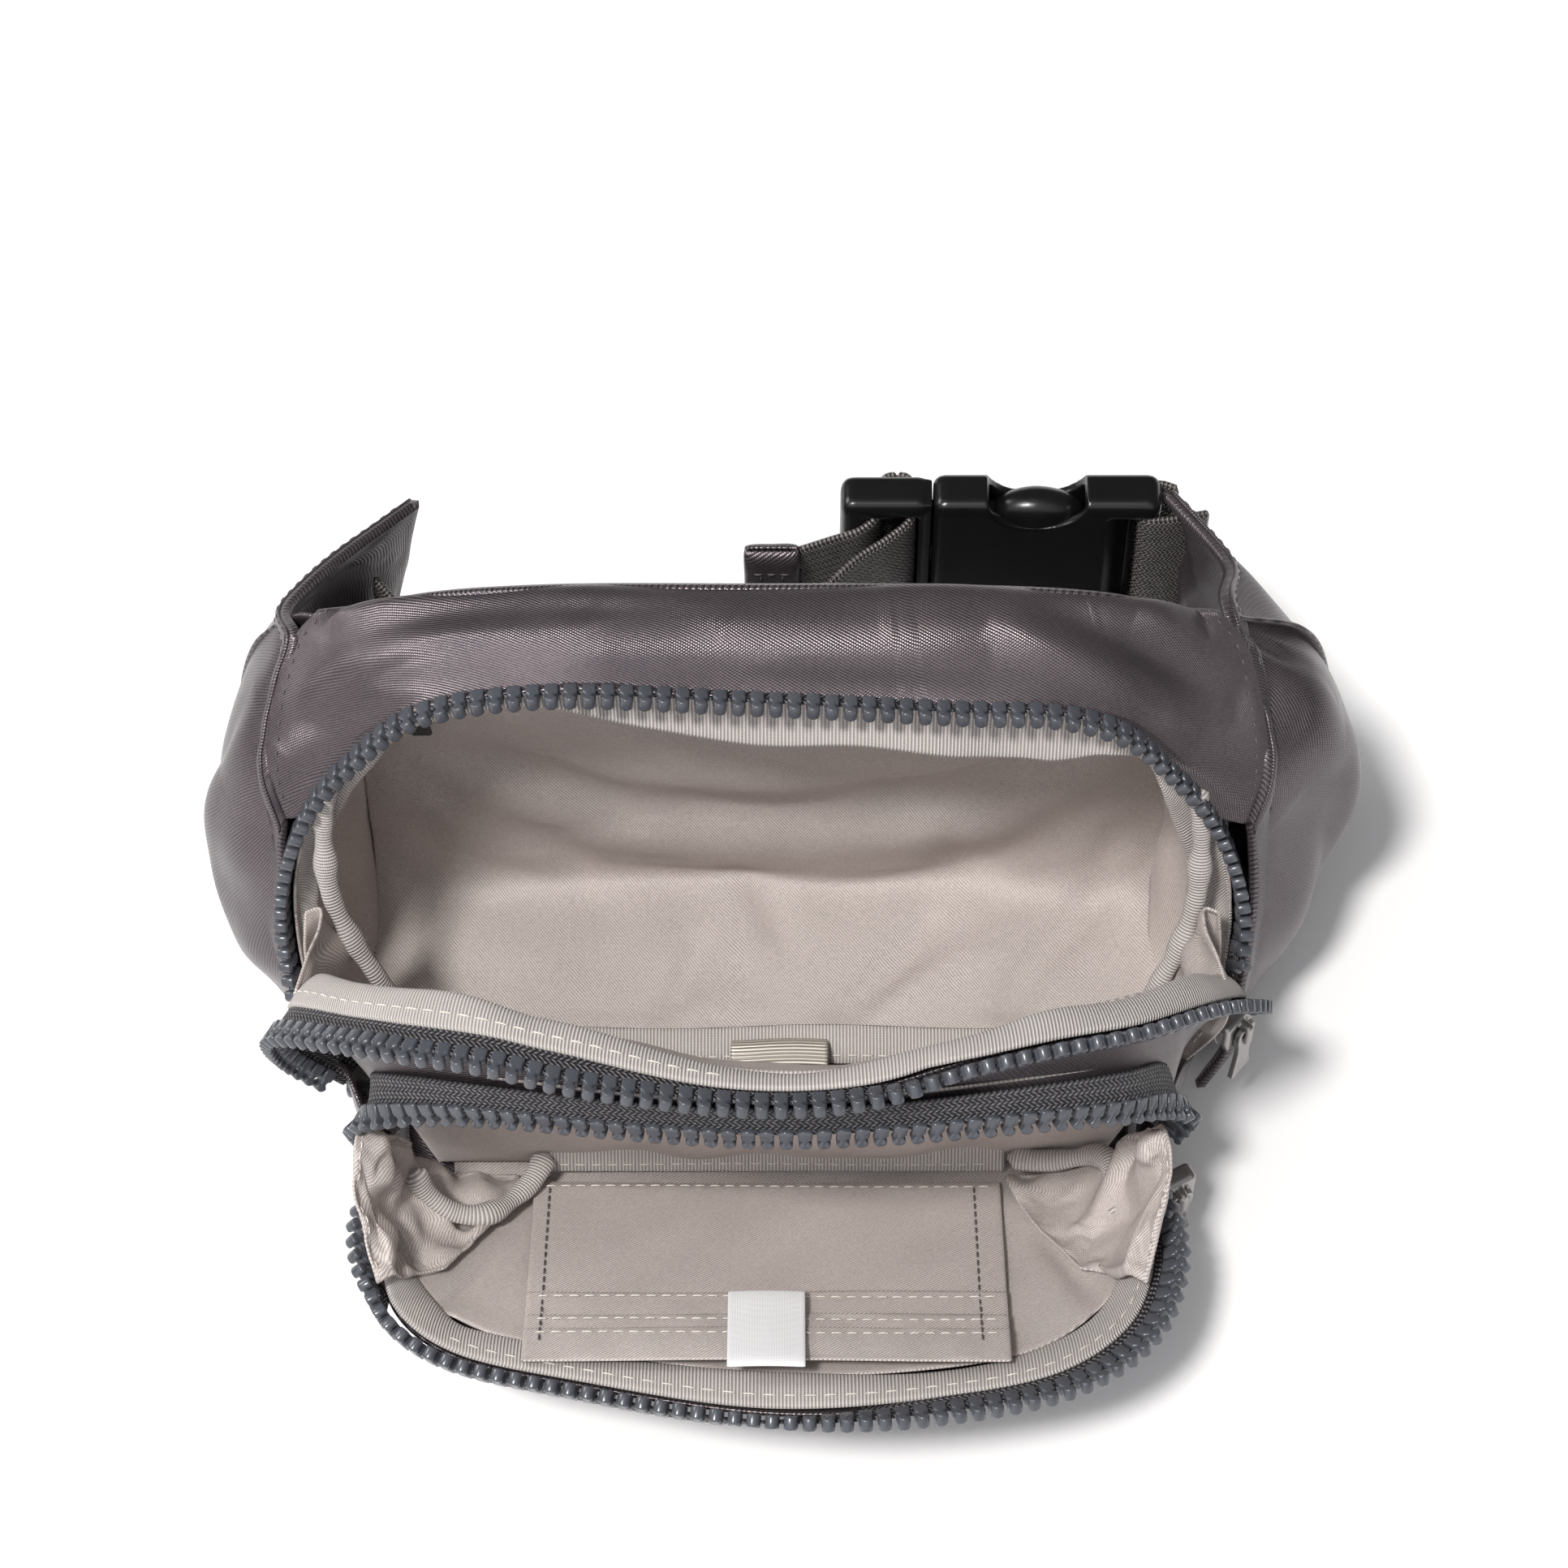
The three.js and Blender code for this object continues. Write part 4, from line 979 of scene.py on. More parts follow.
def middle_band():
    """The strip of outer cloth between the front row and the pocket's rear row."""
    along = 150
    rim = smooth(FRONT_RIM, along, *DIVIDER)
    seam_line = smooth(FRONT_SEAM, along, *DIVIDER)
    out = unit(rim - seam_line)
    pocket = smooth(POCKET_RIM, along)
    pocket_top = smooth(POCKET_SEAM, along)
    top = rim - out * 5.5 + np.array([0, 0.6, -2.6])
    foot = pocket + unit(pocket_top - pocket) * (TAPE_EDGE - 2) + np.array([0, 3.0, -0.6])
    middle = (top + foot) / 2 + np.array([0, 4.0, 0])
    tuck = foot + np.array([0, 2.2, -4.0])
    grid = between([top, middle, foot, tuck], 30)
    return sheet("middle_band_cloth", ripple(grid, 30, 0.5, 8), SHELL_THICK, SHELL)


finish_piece(middle_band(), replaces=["middle_band"], blend=MAIN_BEND)

FLAP_HALF = 72              # half the width of the flap's foot


def straight(x0, x1, y, z, count):
    """Points at even steps along a straight foot or hem that runs in X."""
    return np.array([(x, y, z) for x in np.linspace(x0, x1, count)])


def front_panel():
    along = 110
    seam_line = smooth(FLAP_SEAM, along, 0.06, 0.94)
    rim = smooth(FLAP_RIM, along, 0.06, 0.94)
    edge = seam_line + np.array([0, -2.6, -3.2])
    foot = straight(-FLAP_HALF, FLAP_HALF, -79.6, 1.6, along)
    low = foot * 0.66 + edge * 0.34 + np.array([0, -1, -2.2])
    high = foot * 0.3 + edge * 0.7 + np.array([0, -1.5, -2])
    near_rim = rim - unit(rim - seam_line) * 5.4 + np.array([0, -0.8, -1.6])
    grid = between([foot, low, high, edge, near_rim], 60)
    return sheet("front_panel_cloth", ripple(grid, 50, 0.6, 11), SHELL_THICK, SHELL)


finish_piece(front_panel(), replaces=["front_panel"], blend=POCKET_BEND)


# ---- linings ----
SLACK_FOLDS = [             # big folds that the cloth starts with, before it settles
    ([(-80, 2, 40), (-40, 2, 58), (10, 2, 66), (60, 2, 60)], 10, -2.5),
    ([(-70, 2, 25), (-20, 2, 44), (40, 2, 48), (80, 2, 36)], 9, 2.6),
    ([(-10, 1, 20), (0, -6, 9), (6, -26, 4.4)], 5, 2.5),
    ([(40, 2, 40), (48, 1, 22), (60, -14, 6)], 6, 2.5),
    ([(-50, 2, 38), (-44, 0, 18), (-36, -16, 5)], 6, 2.0),
]
SETTLED_FOLDS = [           # folds that stay in the settled cloth
    ([(14, -41, 6), (26, -30, 6), (40, -14, 8), (46, 0, 20)], 4.0, 2.6),
    ([(24, -41, 6), (37, -30, 6), (54, -18, 7)], 3.4, -1.6),
    ([(-26, -41, 6), (-18, -28, 6), (-14, -14, 8)], 3.6, 2.0),
    ([(56, -41, 6), (64, -26, 6), (80, -8, 10), (84, 0, 34)], 4.4, 2.8),
    ([(-84, 0, 66), (-62, 1, 60), (-40, 1.4, 48), (-28, 0, 30)], 6.5, 2.6),
    ([(2, 1.4, 66), (24, 1.4, 58), (44, 1, 40)], 7.0, 2.0),
]


def main_lining():
    """Slack lining: along the floor, up the back and over to the ribbon under the rear row."""
    columns = []
    for x, top in [(-93, 101), (-72, 110), (-36, 113.5), (0, 113.5), (36, 113), (72, 109), (95, 99)]:
        profile = [(-43.5, 5.2), (-24, 6.0), (-6, 7.6), (0.2, 19), (1.4, 45), (1.6, 72), (2.4, top - 12),
                   (-3, top - 2.5), (-11.5, top)]
        columns.append([(x, y, z) for y, z in profile])
    grid = ripple(folded(loft(columns, 52, 84), SLACK_FOLDS), 30, 0.8, 21, 0.05)
    grid = settled(grid, 0.024, floor=3.4, back=3.6, reach=9, bend=3.0, melt=5)
    grid = folded(grid, SETTLED_FOLDS)
    grid[..., 1] = np.minimum(grid[..., 1], 3.4)
    grid[..., 2] = np.maximum(grid[..., 2], 3.9)
    return sheet("main_lining_cloth", refined(grid, 150, 190), LINING_THICK, LINING)


finish_piece(main_lining(), "rear_body", ["main_lining"])


def side_lining(name, mirror, seed):
    rows = [
        [(-92, -43, 4.6), (-92.5, -20, 4.8), (-93.5, 0, 14), (-93.5, 1.8, 46), (-93, 1.8, 80), (-91, 0, 100)],
        [(-98, -47, 8), (-104, -32, 22), (-106, -20, 44), (-105.5, -14, 66), (-101, -12, 88),
         (-93, -11, 104)],
        [(-97, -55, 21), (-104.5, -47, 33), (-107, -39, 51), (-105.8, -33, 68), (-99.5, -27, 88),
         (-91, -23, 99)],
    ]
    grid = mirrored(rows, mirror, 70, 40, mirror < 0)
    return sheet(name, ripple(grid, 26, 1.0, seed), LINING_THICK, LINING)


for which, mirror, seed in (("left", 1, 31), ("right", -1, 32)):
    finish_piece(side_lining(f"side_lining_{which}", mirror, seed), "rear_body")


def divider():
    first, last = (int(share * (RIM_SAMPLES - 1)) for share in DIVIDER)
    top = smooth(front_inner[first:last:14], 110)
    foot = straight(-88, 90, -52.0, 5.6, 110)
    low = foot * 0.66 + top * 0.34 + np.array([0, -1.5, 0])
    high = foot * 0.33 + top * 0.67
    grid = between([foot, low, high, foot * 0.03 + top * 0.97], 60)
    return sheet("divider_cloth", ripple(grid, 34, 0.8, 41), 1.2, LINING)


finish_piece(divider(), "front_compartment", ["divider_panel"])


def pocket_back():
    top = smooth(POCKET_SEAM, 100, 0.10, 0.90) + np.array([0, 2.4, -1])
    foot = straight(-76, 78, -75.8, 4.6, 100)
    rows = [foot, foot * 0.6 + top * 0.4, top]
    return sheet("pocket_back_cloth", ripple(between(rows, 50), 26, 0.9, 43), LINING_THICK, LINING)


finish_piece(pocket_back(), "front_compartment", ["pocket_back"])


def flap_lining():
    edge = smooth(FLAP_SEAM, 120, 0.05, 0.95)
    foot = straight(-FLAP_HALF, FLAP_HALF, -81, 4.8, 120)
    hinge = straight(-FLAP_HALF, FLAP_HALF, -76.4, 4.4, 120)
    sag = np.array([0, 0, -1.2])
    rows = [hinge, foot, foot * 0.66 + edge * 0.34 + sag, foot * 0.33 + edge * 0.67 + sag,
            foot * 0.02 + edge * 0.98]
    grid = folded(between(rows, 80), [
        ([(-76, -130, 31), (-68, -118, 25), (-59, -104, 18)], 2.6, 1.3),
        ([(-74, -122, 27), (-67, -112, 22), (-60, -98, 15)], 2.4, -1.2),
        ([(76, -126, 30), (70, -112, 22), (62, -96, 14)], 3.0, 1.4),
        ([(80, -116, 26), (74, -104, 19), (68, -90, 12)], 2.6, -1.2),
    ])
    return sheet("flap_lining_cloth", ripple(grid, 24, 0.5, 47), LINING_THICK, LINING)


finish_piece(flap_lining(), replaces=["flap_lining"], blend=POCKET_BEND)


# ---- side gussets and the small trims inside the main compartment ----
def side_gusset(name, mirror, seed):
    """The lining that folds between the two rows: a crumpled V with a stitched edge."""
    rows = [
        [(-100, -56, 30), (-103, -52, 42), (-104.5, -47, 54), (-103.5, -43, 66)],
        [(-97, -52, 24), (-98, -47, 40), (-99, -43, 52), (-100.5, -42, 66)],
        [(-92, -50, 10), (-92, -46, 30), (-95.5, -46, 50), (-100, -48, 68)],
        [(-95, -58, 24), (-98, -58.5, 42), (-101, -58.5, 58), (-102, -56, 70)],
        [(-96, -64, 30), (-103, -64, 45), (-105, -66, 60), (-104, -66, 72)],
    ]
    grid = mirrored(rows, mirror, 60, 70, mirror < 0)
    gusset = sheet(name, ripple(grid, 15, 1.0, seed, 0.06), LINING_THICK, LINING)
    up = normals(grid)[-8]
    edge = grid[-8] + up * 0.45
    return gusset, stitches(f"{name}_stitches", edge[6:-4], up[6:-4], 3.2, 2.0, 0.2)


for which, mirror, seed in (("left", 1, 51), ("right", -1, 52)):
    gusset, seam = side_gusset(f"side_gusset_{which}_cloth", mirror, seed)
    finish_piece(gusset, replaces=[f"side_gusset_{which}"], blend=MAIN_BEND)
    finish_piece(seam, blend=MAIN_BEND)


def seam_ribbon(name, x0, x1, profile, sway_phase, node, body=None, blend=None):
    """A ribbon along a bottom seam: its section is a list of [y, z], and it sways along its length."""
    xs = np.linspace(x0, x1, 110)
    rows = []
    for k, (y, z) in enumerate(profile):
        share = k / len(profile)
        wave_y = 0.6 * share * np.sin(xs / 11.0 + sway_phase)
        wave_z = 0.4 * share * np.sin(xs / 17 + sway_phase)
        rows.append(np.stack([xs, y + wave_y, z + wave_z], 1))
    grid = between(rows, 14)
    ribbon = sheet(name, grid, SEAM_RIBBON_THICK, RIBBON)
    up = normals(grid)[4]
    path = grid[4] + up * (SEAM_RIBBON_THICK / 2 + 0.05)
    seam = stitches(f"{name}_stitches", path[4:-4], up[4:-4], 3.6, 2.4, 0.22)
    finish_piece(ribbon, body, [node], blend)
    finish_piece(seam, body, blend=blend)


seam_ribbon("base_ribbon", -62, 64, [(-50.6, 5.4), (-49.4, 7.0), (-47.0, 8.2), (-43.2, 8.6)], 0.4,
            "base_binding", blend=BASE_BEND)


def ribbon_tag():
    """A loop of metallic ribbon, sewn into the bottom seam."""
    section = [(-46.6, 9.0), (-48.4, 11.0), (-51.0, 11.6), (-53.4, 10.8), (-53.8, 9.4), (-51.4, 8.9),
               (-48.4, 9.2)]
    along = np.linspace(-7.5, 15, 40)
    rows = [np.stack([along, y + 0.25 * np.sin(along / 5), z + 0.3 * np.sin(along / 8 + 1)], 1)
            for y, z in section]
    return sheet("ribbon_tag_loop", between(rows, 44), 0.5, SATIN)


finish_piece(ribbon_tag(), replaces=["ribbon_tag"], blend=BASE_BEND)


def key_leash():
    """The leash hangs from its seam, leans a little sideways and bows towards the opening."""
    low, high = (np.array(corner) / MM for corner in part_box("key_leash"))
    zs = np.linspace(high[2], low[2], 30)
    down = high[2] - zs
    y = (low[1] + high[1]) / 2 - 0.5 * np.sin(down / 8)
    rows = [np.stack([x + down * 0.12, y, zs], 1) for x in np.linspace(low[0], high[0], 8)]
    return sheet("key_leash_strap", np.stack(rows), 1.2, LEASH)


finish_piece(key_leash(), "key_leash", ["key_leash"])


# ---- pocket: sides, seam ribbon, gussets, card slots ----
def pocket_side(name, mirror, seed):
    rows = [
        [(-87, -80, 2), (-88, -80.5, 12), (-89, -81.5, 22), (-89.5, -82.5, 33)],
        [(-88.5, -66, 2), (-92, -67, 14), (-94, -68.5, 26), (-95, -70, 38)],
        [(-90, -51, 2), (-95, -54, 12), (-98, -57, 20), (-99.5, -60, 28)],
    ]
    grid = mirrored(rows, mirror, 40, 40, mirror > 0)
    return sheet(name, ripple(grid, 22, 0.8, seed), SHELL_THICK, SHELL)


for which, mirror, seed in (("left", 1, 61), ("right", -1, 62)):
    finish_piece(pocket_side(f"pocket_side_{which}_cloth", mirror, seed), "front_compartment",
                 [f"pocket_side_{which}"])

seam_ribbon("pocket_seam_ribbon", -52, 56, [(-79.6, 7.4), (-78.6, 9.6), (-77.2, 12.0), (-75.6, 14.4)], 2.0,
            "pocket_seam_binding", "front_compartment")


def pocket_gusset(name, mirror, seed):
    """The side wall between the pocket's two rows: a wavy outer fold, and slack cloth down to the lining."""
    rows = [
        [(-87, -84, 34), (-90, -89, 50), (-91, -95, 53), (-91, -103, 47), (-88.5, -113, 42), (-86, -122, 38)],
        [(-83, -84, 35), (-84.5, -89, 50), (-83.5, -95, 53), (-84.5, -103, 47), (-83, -112, 42),
         (-82.5, -120, 38)],
        [(-80, -83, 20), (-81, -88, 34), (-80, -94, 36), (-81, -101, 33), (-79.5, -110, 32), (-80, -118, 32)],
        [(-71, -82, 10), (-72, -86, 15), (-73, -92, 17), (-74, -99, 19.5), (-75, -107, 24), (-77, -115, 28)],
        [(-57, -81, 7), (-57, -84, 9.5), (-59, -90, 12.5), (-62, -97, 16.5), (-67, -105, 21), (-72, -113, 26)],
    ]
    grid = ripple(mirrored(rows, mirror, 44, 40, mirror < 0), 14, 1.1, seed, 0.04)
    grid = refined(settled(grid, 0.07, reach=5, bend=0.2, gravity=0.4, melt=1), 110, 110)
    up = normals(grid)[5]
    edge = grid[4:6].mean(0) + up * 0.4
    gusset = sheet(name, grid, LINING_THICK, LINING)
    return gusset, stitches(f"{name}_stitches", edge[8:-6], up[8:-6], 2.6, 1.8, 0.18)


for which, mirror, seed in (("left", 1, 71), ("right", -1, 74)):
    gusset, seam = pocket_gusset(f"pocket_gusset_{which}_cloth", mirror, seed)
    finish_piece(gusset, replaces=[f"pocket_gusset_{which}"], blend=POCKET_BEND)
    finish_piece(seam, blend=POCKET_BEND)


def roll(name, path, radius, count=90):
    """A soft tube along a path: a seam allowance rolled in ribbon."""
    line = smooth(path, count)
    tangent = unit(np.gradient(line, axis=0))
    side = unit(np.cross(tangent, np.array([0, 0.2, 1.0])))
    up = np.cross(side, tangent)
    around = np.linspace(0, 2 * math.pi, 17)[:-1]
    s = lengths(line)
    taper = np.minimum(1, np.minimum(s, s[-1] - s) / radius + 0.25)
    wobble = 1 + 0.12 * np.sin(s / 3.1) + 0.08 * np.sin(s / 1.7 + 1)
    r = radius * taper * wobble
    verts, uv = [], []
    for k in range(count):
        for a in around:
            verts.append(line[k] + side[k] * math.cos(a) * r[k] + up[k] * math.sin(a) * r[k] * 0.8)
            uv.append((s[k], a * radius))
    n = len(around)
    faces = tube_faces(count, n)
    faces += [tuple(range(n - 1, -1, -1)), tuple((count - 1) * n + i for i in range(n))]
    return mesh_object(name, verts, faces, RIBBON, uv)


for name, radius, blend, path in [
    ("pocket_roll_left", 2.6, POCKET_BEND, [(-50, -77.6, 12), (-55, -87, 13), (-64, -96, 18), (-71.4, -96, 20),
                                            (-77, -93, 24), (-80, -90, 29)]),
    ("pocket_roll_right", 2.8, POCKET_BEND, [(57, -78.5, 12), (64, -80, 13), (71, -80.5, 15), (77, -81, 18),
                                             (80, -84, 20), (81, -92, 22), (82, -100, 24)]),
    ("side_roll_left", 2.5, MAIN_BEND, [(-97, -25.5, 94), (-98.6, -29, 85), (-98.8, -33, 76), (-98, -38, 66),
                                        (-94.5, -43.5, 57), (-89, -49, 48), (-85, -52, 40)]),
    ("side_roll_right", 2.5, MAIN_BEND, [(97, -26, 93), (98.8, -30, 84), (99, -34, 74), (98.4, -39, 64),
                                         (95.5, -45, 54), (91, -50, 45), (88, -53, 38)]),
]:
    finish_piece(roll(name, path, radius), blend=blend)


# The card slots lie in the flap lining's own plane: across is +X, up the slope towards the flap's edge.
CARD_ORIGIN = np.array([1.0, -81.0, 6.8])
CARD_SLOPE = math.atan2(63, 32)
CARD_UP = np.array([0, -math.sin(CARD_SLOPE), math.cos(CARD_SLOPE)])
CARD_OUT = np.array([0, math.cos(CARD_SLOPE), math.sin(CARD_SLOPE)])
CARD_HALF = 54.0            # half the width of the card panel


def on_cards(x, up, lift):
    """Points on the card panel: x across it, up its slope, and lifted off it."""
    x, up, lift = (part[..., None] for part in np.broadcast_arrays(np.asarray(x, float), up, lift))
    return CARD_ORIGIN + x * np.array([1.0, 0, 0]) + up * CARD_UP + lift * CARD_OUT


def card_layer(name, low, high, lift, seed, sag=0.4):
    x = np.linspace(-CARD_HALF, CARD_HALF, 110)
    rows = []
    for share in np.linspace(0, 1, 24):
        up = low + (high - low) * share + 0.35 * np.sin(x / 17 + seed)
        bow = sag * np.sin(math.pi * share) * np.cos(x / CARD_HALF * 1.4)
        rows.append(on_cards(x, up, lift + bow))
    return sheet(name, ripple(np.stack(rows), 22, 0.22, seed), CARD_THICK, LINING)


CARD_LAYERS = [("card_panel", 3, 60, 0.2), ("card_slot_lower", 44, 62.5, 1.0),
               ("card_slot_middle", 53, 65, 1.9), ("card_slot_upper", 58.8, 69.6, 2.8)]
for index, (node, low, high, lift) in enumerate(CARD_LAYERS):
    layer = card_layer(f"{node}_cloth", low, high, lift, index + 2.0)
    finish_piece(layer, "pocket_flap", [node])
    x = np.linspace(-CARD_HALF + 2, CARD_HALF - 2, 60)
    sew_at = low + 2.2 if index else 5.0
    path = on_cards(x, sew_at + 0.3 * np.sin(x / 19), lift + 0.75)
    row = stitches(f"{node}_stitches", path, CARD_OUT, 3.4, 2.3, 0.2)
    finish_piece(row, "pocket_flap")
for which, x in (("left", -CARD_HALF + 3.5), ("right", CARD_HALF - 6)):
    up = np.linspace(5, 64, 44)
    column = on_cards(x + 0 * up, up, 0.9 + np.clip((up - 44) / 7, 0, 2.6))
    row = stitches(f"card_side_stitches_{which}", column, CARD_OUT, 2.9, 2.1, 0.24, DARK_THREAD)
    finish_piece(row, "pocket_flap")


def care_label():
    """A blank woven label, its ends folded under."""
    x = np.linspace(-8.5, 8.5, 30)
    profile = [(47, 3.0), (47.2, 3.8), (49, 4.2), (57, 4.6), (66, 5.2), (73.4, 5.6), (74.6, 5.2)]
    rows = [on_cards(x, up, lift + 0.25 * np.cos(x / 5)) for up, lift in profile]
    return sheet("care_label_cloth", between(rows, 40), 0.4, LABEL)


finish_piece(care_label(), "pocket_flap", ["care_label"])


# ---- panels that the camera hardly sees: base, back, pocket base ----
BEVEL_STEPS = 4


def rounded_box(name, low, high, radius, material=None):
    """A box with rounded edges between two corners."""
    low, high = np.asarray(low, float), np.asarray(high, float)
    bm = bmesh.new()
    bmesh.ops.create_cube(bm, size=1)
    for v in bm.verts:
        v.co = Vector((low + (np.array(v.co) + 0.5) * (high - low)) * MM)
    if radius:
        bmesh.ops.bevel(bm, geom=bm.edges[:], offset=radius * MM, segments=BEVEL_STEPS, profile=0.5,
                        affect="EDGES")
    mesh = bpy.data.meshes.new(name)
    bm.to_mesh(mesh)
    bm.free()
    mesh.polygons.foreach_set("use_smooth", np.ones(len(mesh.polygons), bool))
    if material:
        mesh.materials.append(material)
    obj = bpy.data.objects.new(name, mesh)
    bpy.context.scene.collection.objects.link(obj)
    return obj


def padded_panel(name, outline, y_front, y_back, swell, material):
    """A quilted panel that stands in X and Z: a closed outline, swollen between its rim and its middle."""
    edge = np.array(outline, float)
    centre = edge.mean(0)
    rings = [1.0, 0.985, 0.94, 0.8, 0.55, 0.3]
    verts, uv, faces = [], [], []
    n = len(edge)
    for side, y_face in ((-1, y_front), (1, y_back)):
        for ring in rings:
            puff = swell * math.sin(math.pi / 2 * min(1, (1 - ring) * 5)) * side
            middle = (y_front + y_back) / 2
            y = middle + (y_face - middle) * min(1, 0.25 + (1 - ring) * 50) + puff
            for p in centre + (edge - centre) * ring:
                verts.append((p[0], y, p[1]))
                uv.append((p[0], p[1]))
        verts.append((centre[0], y_face + swell * side, centre[1]))
        uv.append(tuple(centre))
    block = len(rings) * n + 1
    for part in (0, 1):
        base = part * block
        for quad in tube_faces(len(rings), n):
            quad = tuple(base + k for k in quad)
            faces.append(quad if part == 0 else quad[::-1])
        last = base + (len(rings) - 1) * n
        for i in range(n):
            tri = (last + i, last + (i + 1) % n, base + block - 1)
            faces.append(tri if part == 0 else tri[::-1])
    for i in range(n):
        faces.append((i, block + i, block + (i + 1) % n, (i + 1) % n))
    return mesh_object(name, verts, faces, material, uv)


def arch_outline(corners, count=160):
    """A smooth closed outline through [x, z] corners."""
    ring = smooth([(x, 0, z) for x, z in corners + corners[:1]], count + 1)[:-1]
    return ring[:, [0, 2]]


BACK_CORNERS = [(0, 1.5), (60, 1.5), (92, 2.5), (101, 12), (103, 40), (103, 70), (102, 98), (97, 111),
                (82, 120.5), (45, 125), (0, 125.4), (-50, 125), (-78, 121), (-94, 113), (-101, 98),
                (-103, 70), (-103, 40), (-101, 12), (-92, 2.5), (-60, 1.5)]
back = padded_panel("back_panel_pad", arch_outline(BACK_CORNERS), 5.0, 8.0, 0.5, SHELL)
finish_piece(back, "rear_body", ["back_panel"])


def carved(body, cutters, extras=(), voxel=0.4, rounds=4, keep=0.4):
    """Cuts and joins solids, then melts their edges into the soft edges of a moulded piece."""
    for other, operation in [(c, "DIFFERENCE") for c in cutters] + [(e, "UNION") for e in extras]:
        modifier = body.modifiers.new("cut", "BOOLEAN")
        modifier.operation = operation
        modifier.solver = "EXACT"
        modifier.object = other
    applied(body)
    for other in [*cutters, *extras]:
        bpy.data.objects.remove(other)
    remesh = body.modifiers.new("remesh", "REMESH")
    remesh.mode = "VOXEL"
    remesh.voxel_size = voxel * MM
    soften = body.modifiers.new("soften", "SMOOTH")
    soften.factor = 0.5
    soften.iterations = rounds
    fewer = body.modifiers.new("fewer", "DECIMATE")
    fewer.ratio = keep
    applied(body)
    body.data.polygons.foreach_set("use_smooth", np.ones(len(body.data.polygons), bool))
    return body


def prism(name, outline, low, high, material, axis="y"):
    """A solid from a closed outline: [x, z] stood between two y values, or [x, y] between two z values."""
    n = len(outline)
    level = [(p[0], t, p[1]) if axis == "y" else (p[0], p[1], t) for t in (low, high) for p in outline]
    faces = [tuple(range(n)), tuple(range(2 * n - 1, n - 1, -1))]
    faces += [(i, n + i, n + (i + 1) % n, (i + 1) % n) for i in range(n)]
    obj = mesh_object(name, level, faces, material)
    bm = bmesh.new()
    bm.from_mesh(obj.data)
    bmesh.ops.recalc_face_normals(bm, faces=bm.faces)
    bm.to_mesh(obj.data)
    bm.free()
    return obj


def ellipse(cx, cz, rx, rz, count=48):
    a = np.linspace(0, 2 * math.pi, count, endpoint=False)
    return [(cx + rx * math.cos(t), cz + rz * math.sin(t)) for t in a]


# ---- buckle ----
BUCKLE_Y = 52.5
BUCKLE_LOW, BUCKLE_HIGH = 46.0, 95.0
BUCKLE_MID = (BUCKLE_LOW + BUCKLE_HIGH) / 2
WEB_LOW, WEB_HIGH = 50.5, 90.5
THROUGH = (40, 66)          # y values in front of and behind the whole buckle, for cuts right through it


def slot(x0, x1, radius, y0=THROUGH[0], y1=THROUGH[1], margin=0.0):
    """A cutter for a gap that the webbing fills, as tall as the webbing needs."""
    return rounded_box("slot", (x0, y0, WEB_LOW + margin), (x1, y1, WEB_HIGH - margin), radius)


def buckle_female():
    """The fixed half: a sleeve with a smile-shaped window at each edge and a bar for the webbing."""
    body = rounded_box("buckle_socket", (39.3, 47, BUCKLE_LOW), (92.4, 58, BUCKLE_HIGH), 3.0, PLASTIC)
    inside = rounded_box("inside", (30, 49.2, 48.4), (79, 55.8, 92.6), 1.5)
    around_bar = [slot(86.0, 89.4, 0.6), slot(88, 99, 0.6, y1=50.6), slot(88, 99, 0.6, y0=54.4)]
    ramp = prism("ramp", [(78.6, 46.0), (85.8, 46.0), (85.8, 51.4)], WEB_LOW, WEB_HIGH, PLASTIC, "z")
    windows = [prism("window", ellipse(63.6, z, 11.6, 9.2), *THROUGH, PLASTIC)
               for z in (BUCKLE_LOW - 0.6, BUCKLE_HIGH + 0.6)]
    return carved(body, [inside, *around_bar, ramp, *windows])


def buckle_male():
    """The sliding half: a ladder for the webbing, and a tongue that guides it into the sleeve."""
    low, high = (18, 47.4, BUCKLE_LOW + 0.3), (39.1, 57.6, BUCKLE_HIGH - 0.3)
    body = rounded_box("buckle_slider", low, high, 3.0, PLASTIC)
    rungs = [slot(24.4, 30.4, 0.8, margin=0.4), slot(33.0, 36.1, 0.6), slot(29.4, 34, 0.6, y1=50.4)]
    corner = prism("corner", [(17, 94.2), (17, 99), (26, 99)], *THROUGH, PLASTIC)
    tongue = rounded_box("tongue", (37.8, 50.8, BUCKLE_MID - 5), (76, 54.2, BUCKLE_MID + 5), 1.2)
    shoulder = rounded_box("shoulder", (36.4, 48.6, BUCKLE_LOW + 1.2), (39.26, 56.4, BUCKLE_HIGH - 1.2), 0.3)
    return carved(body, [*rungs, corner], [tongue, shoulder])


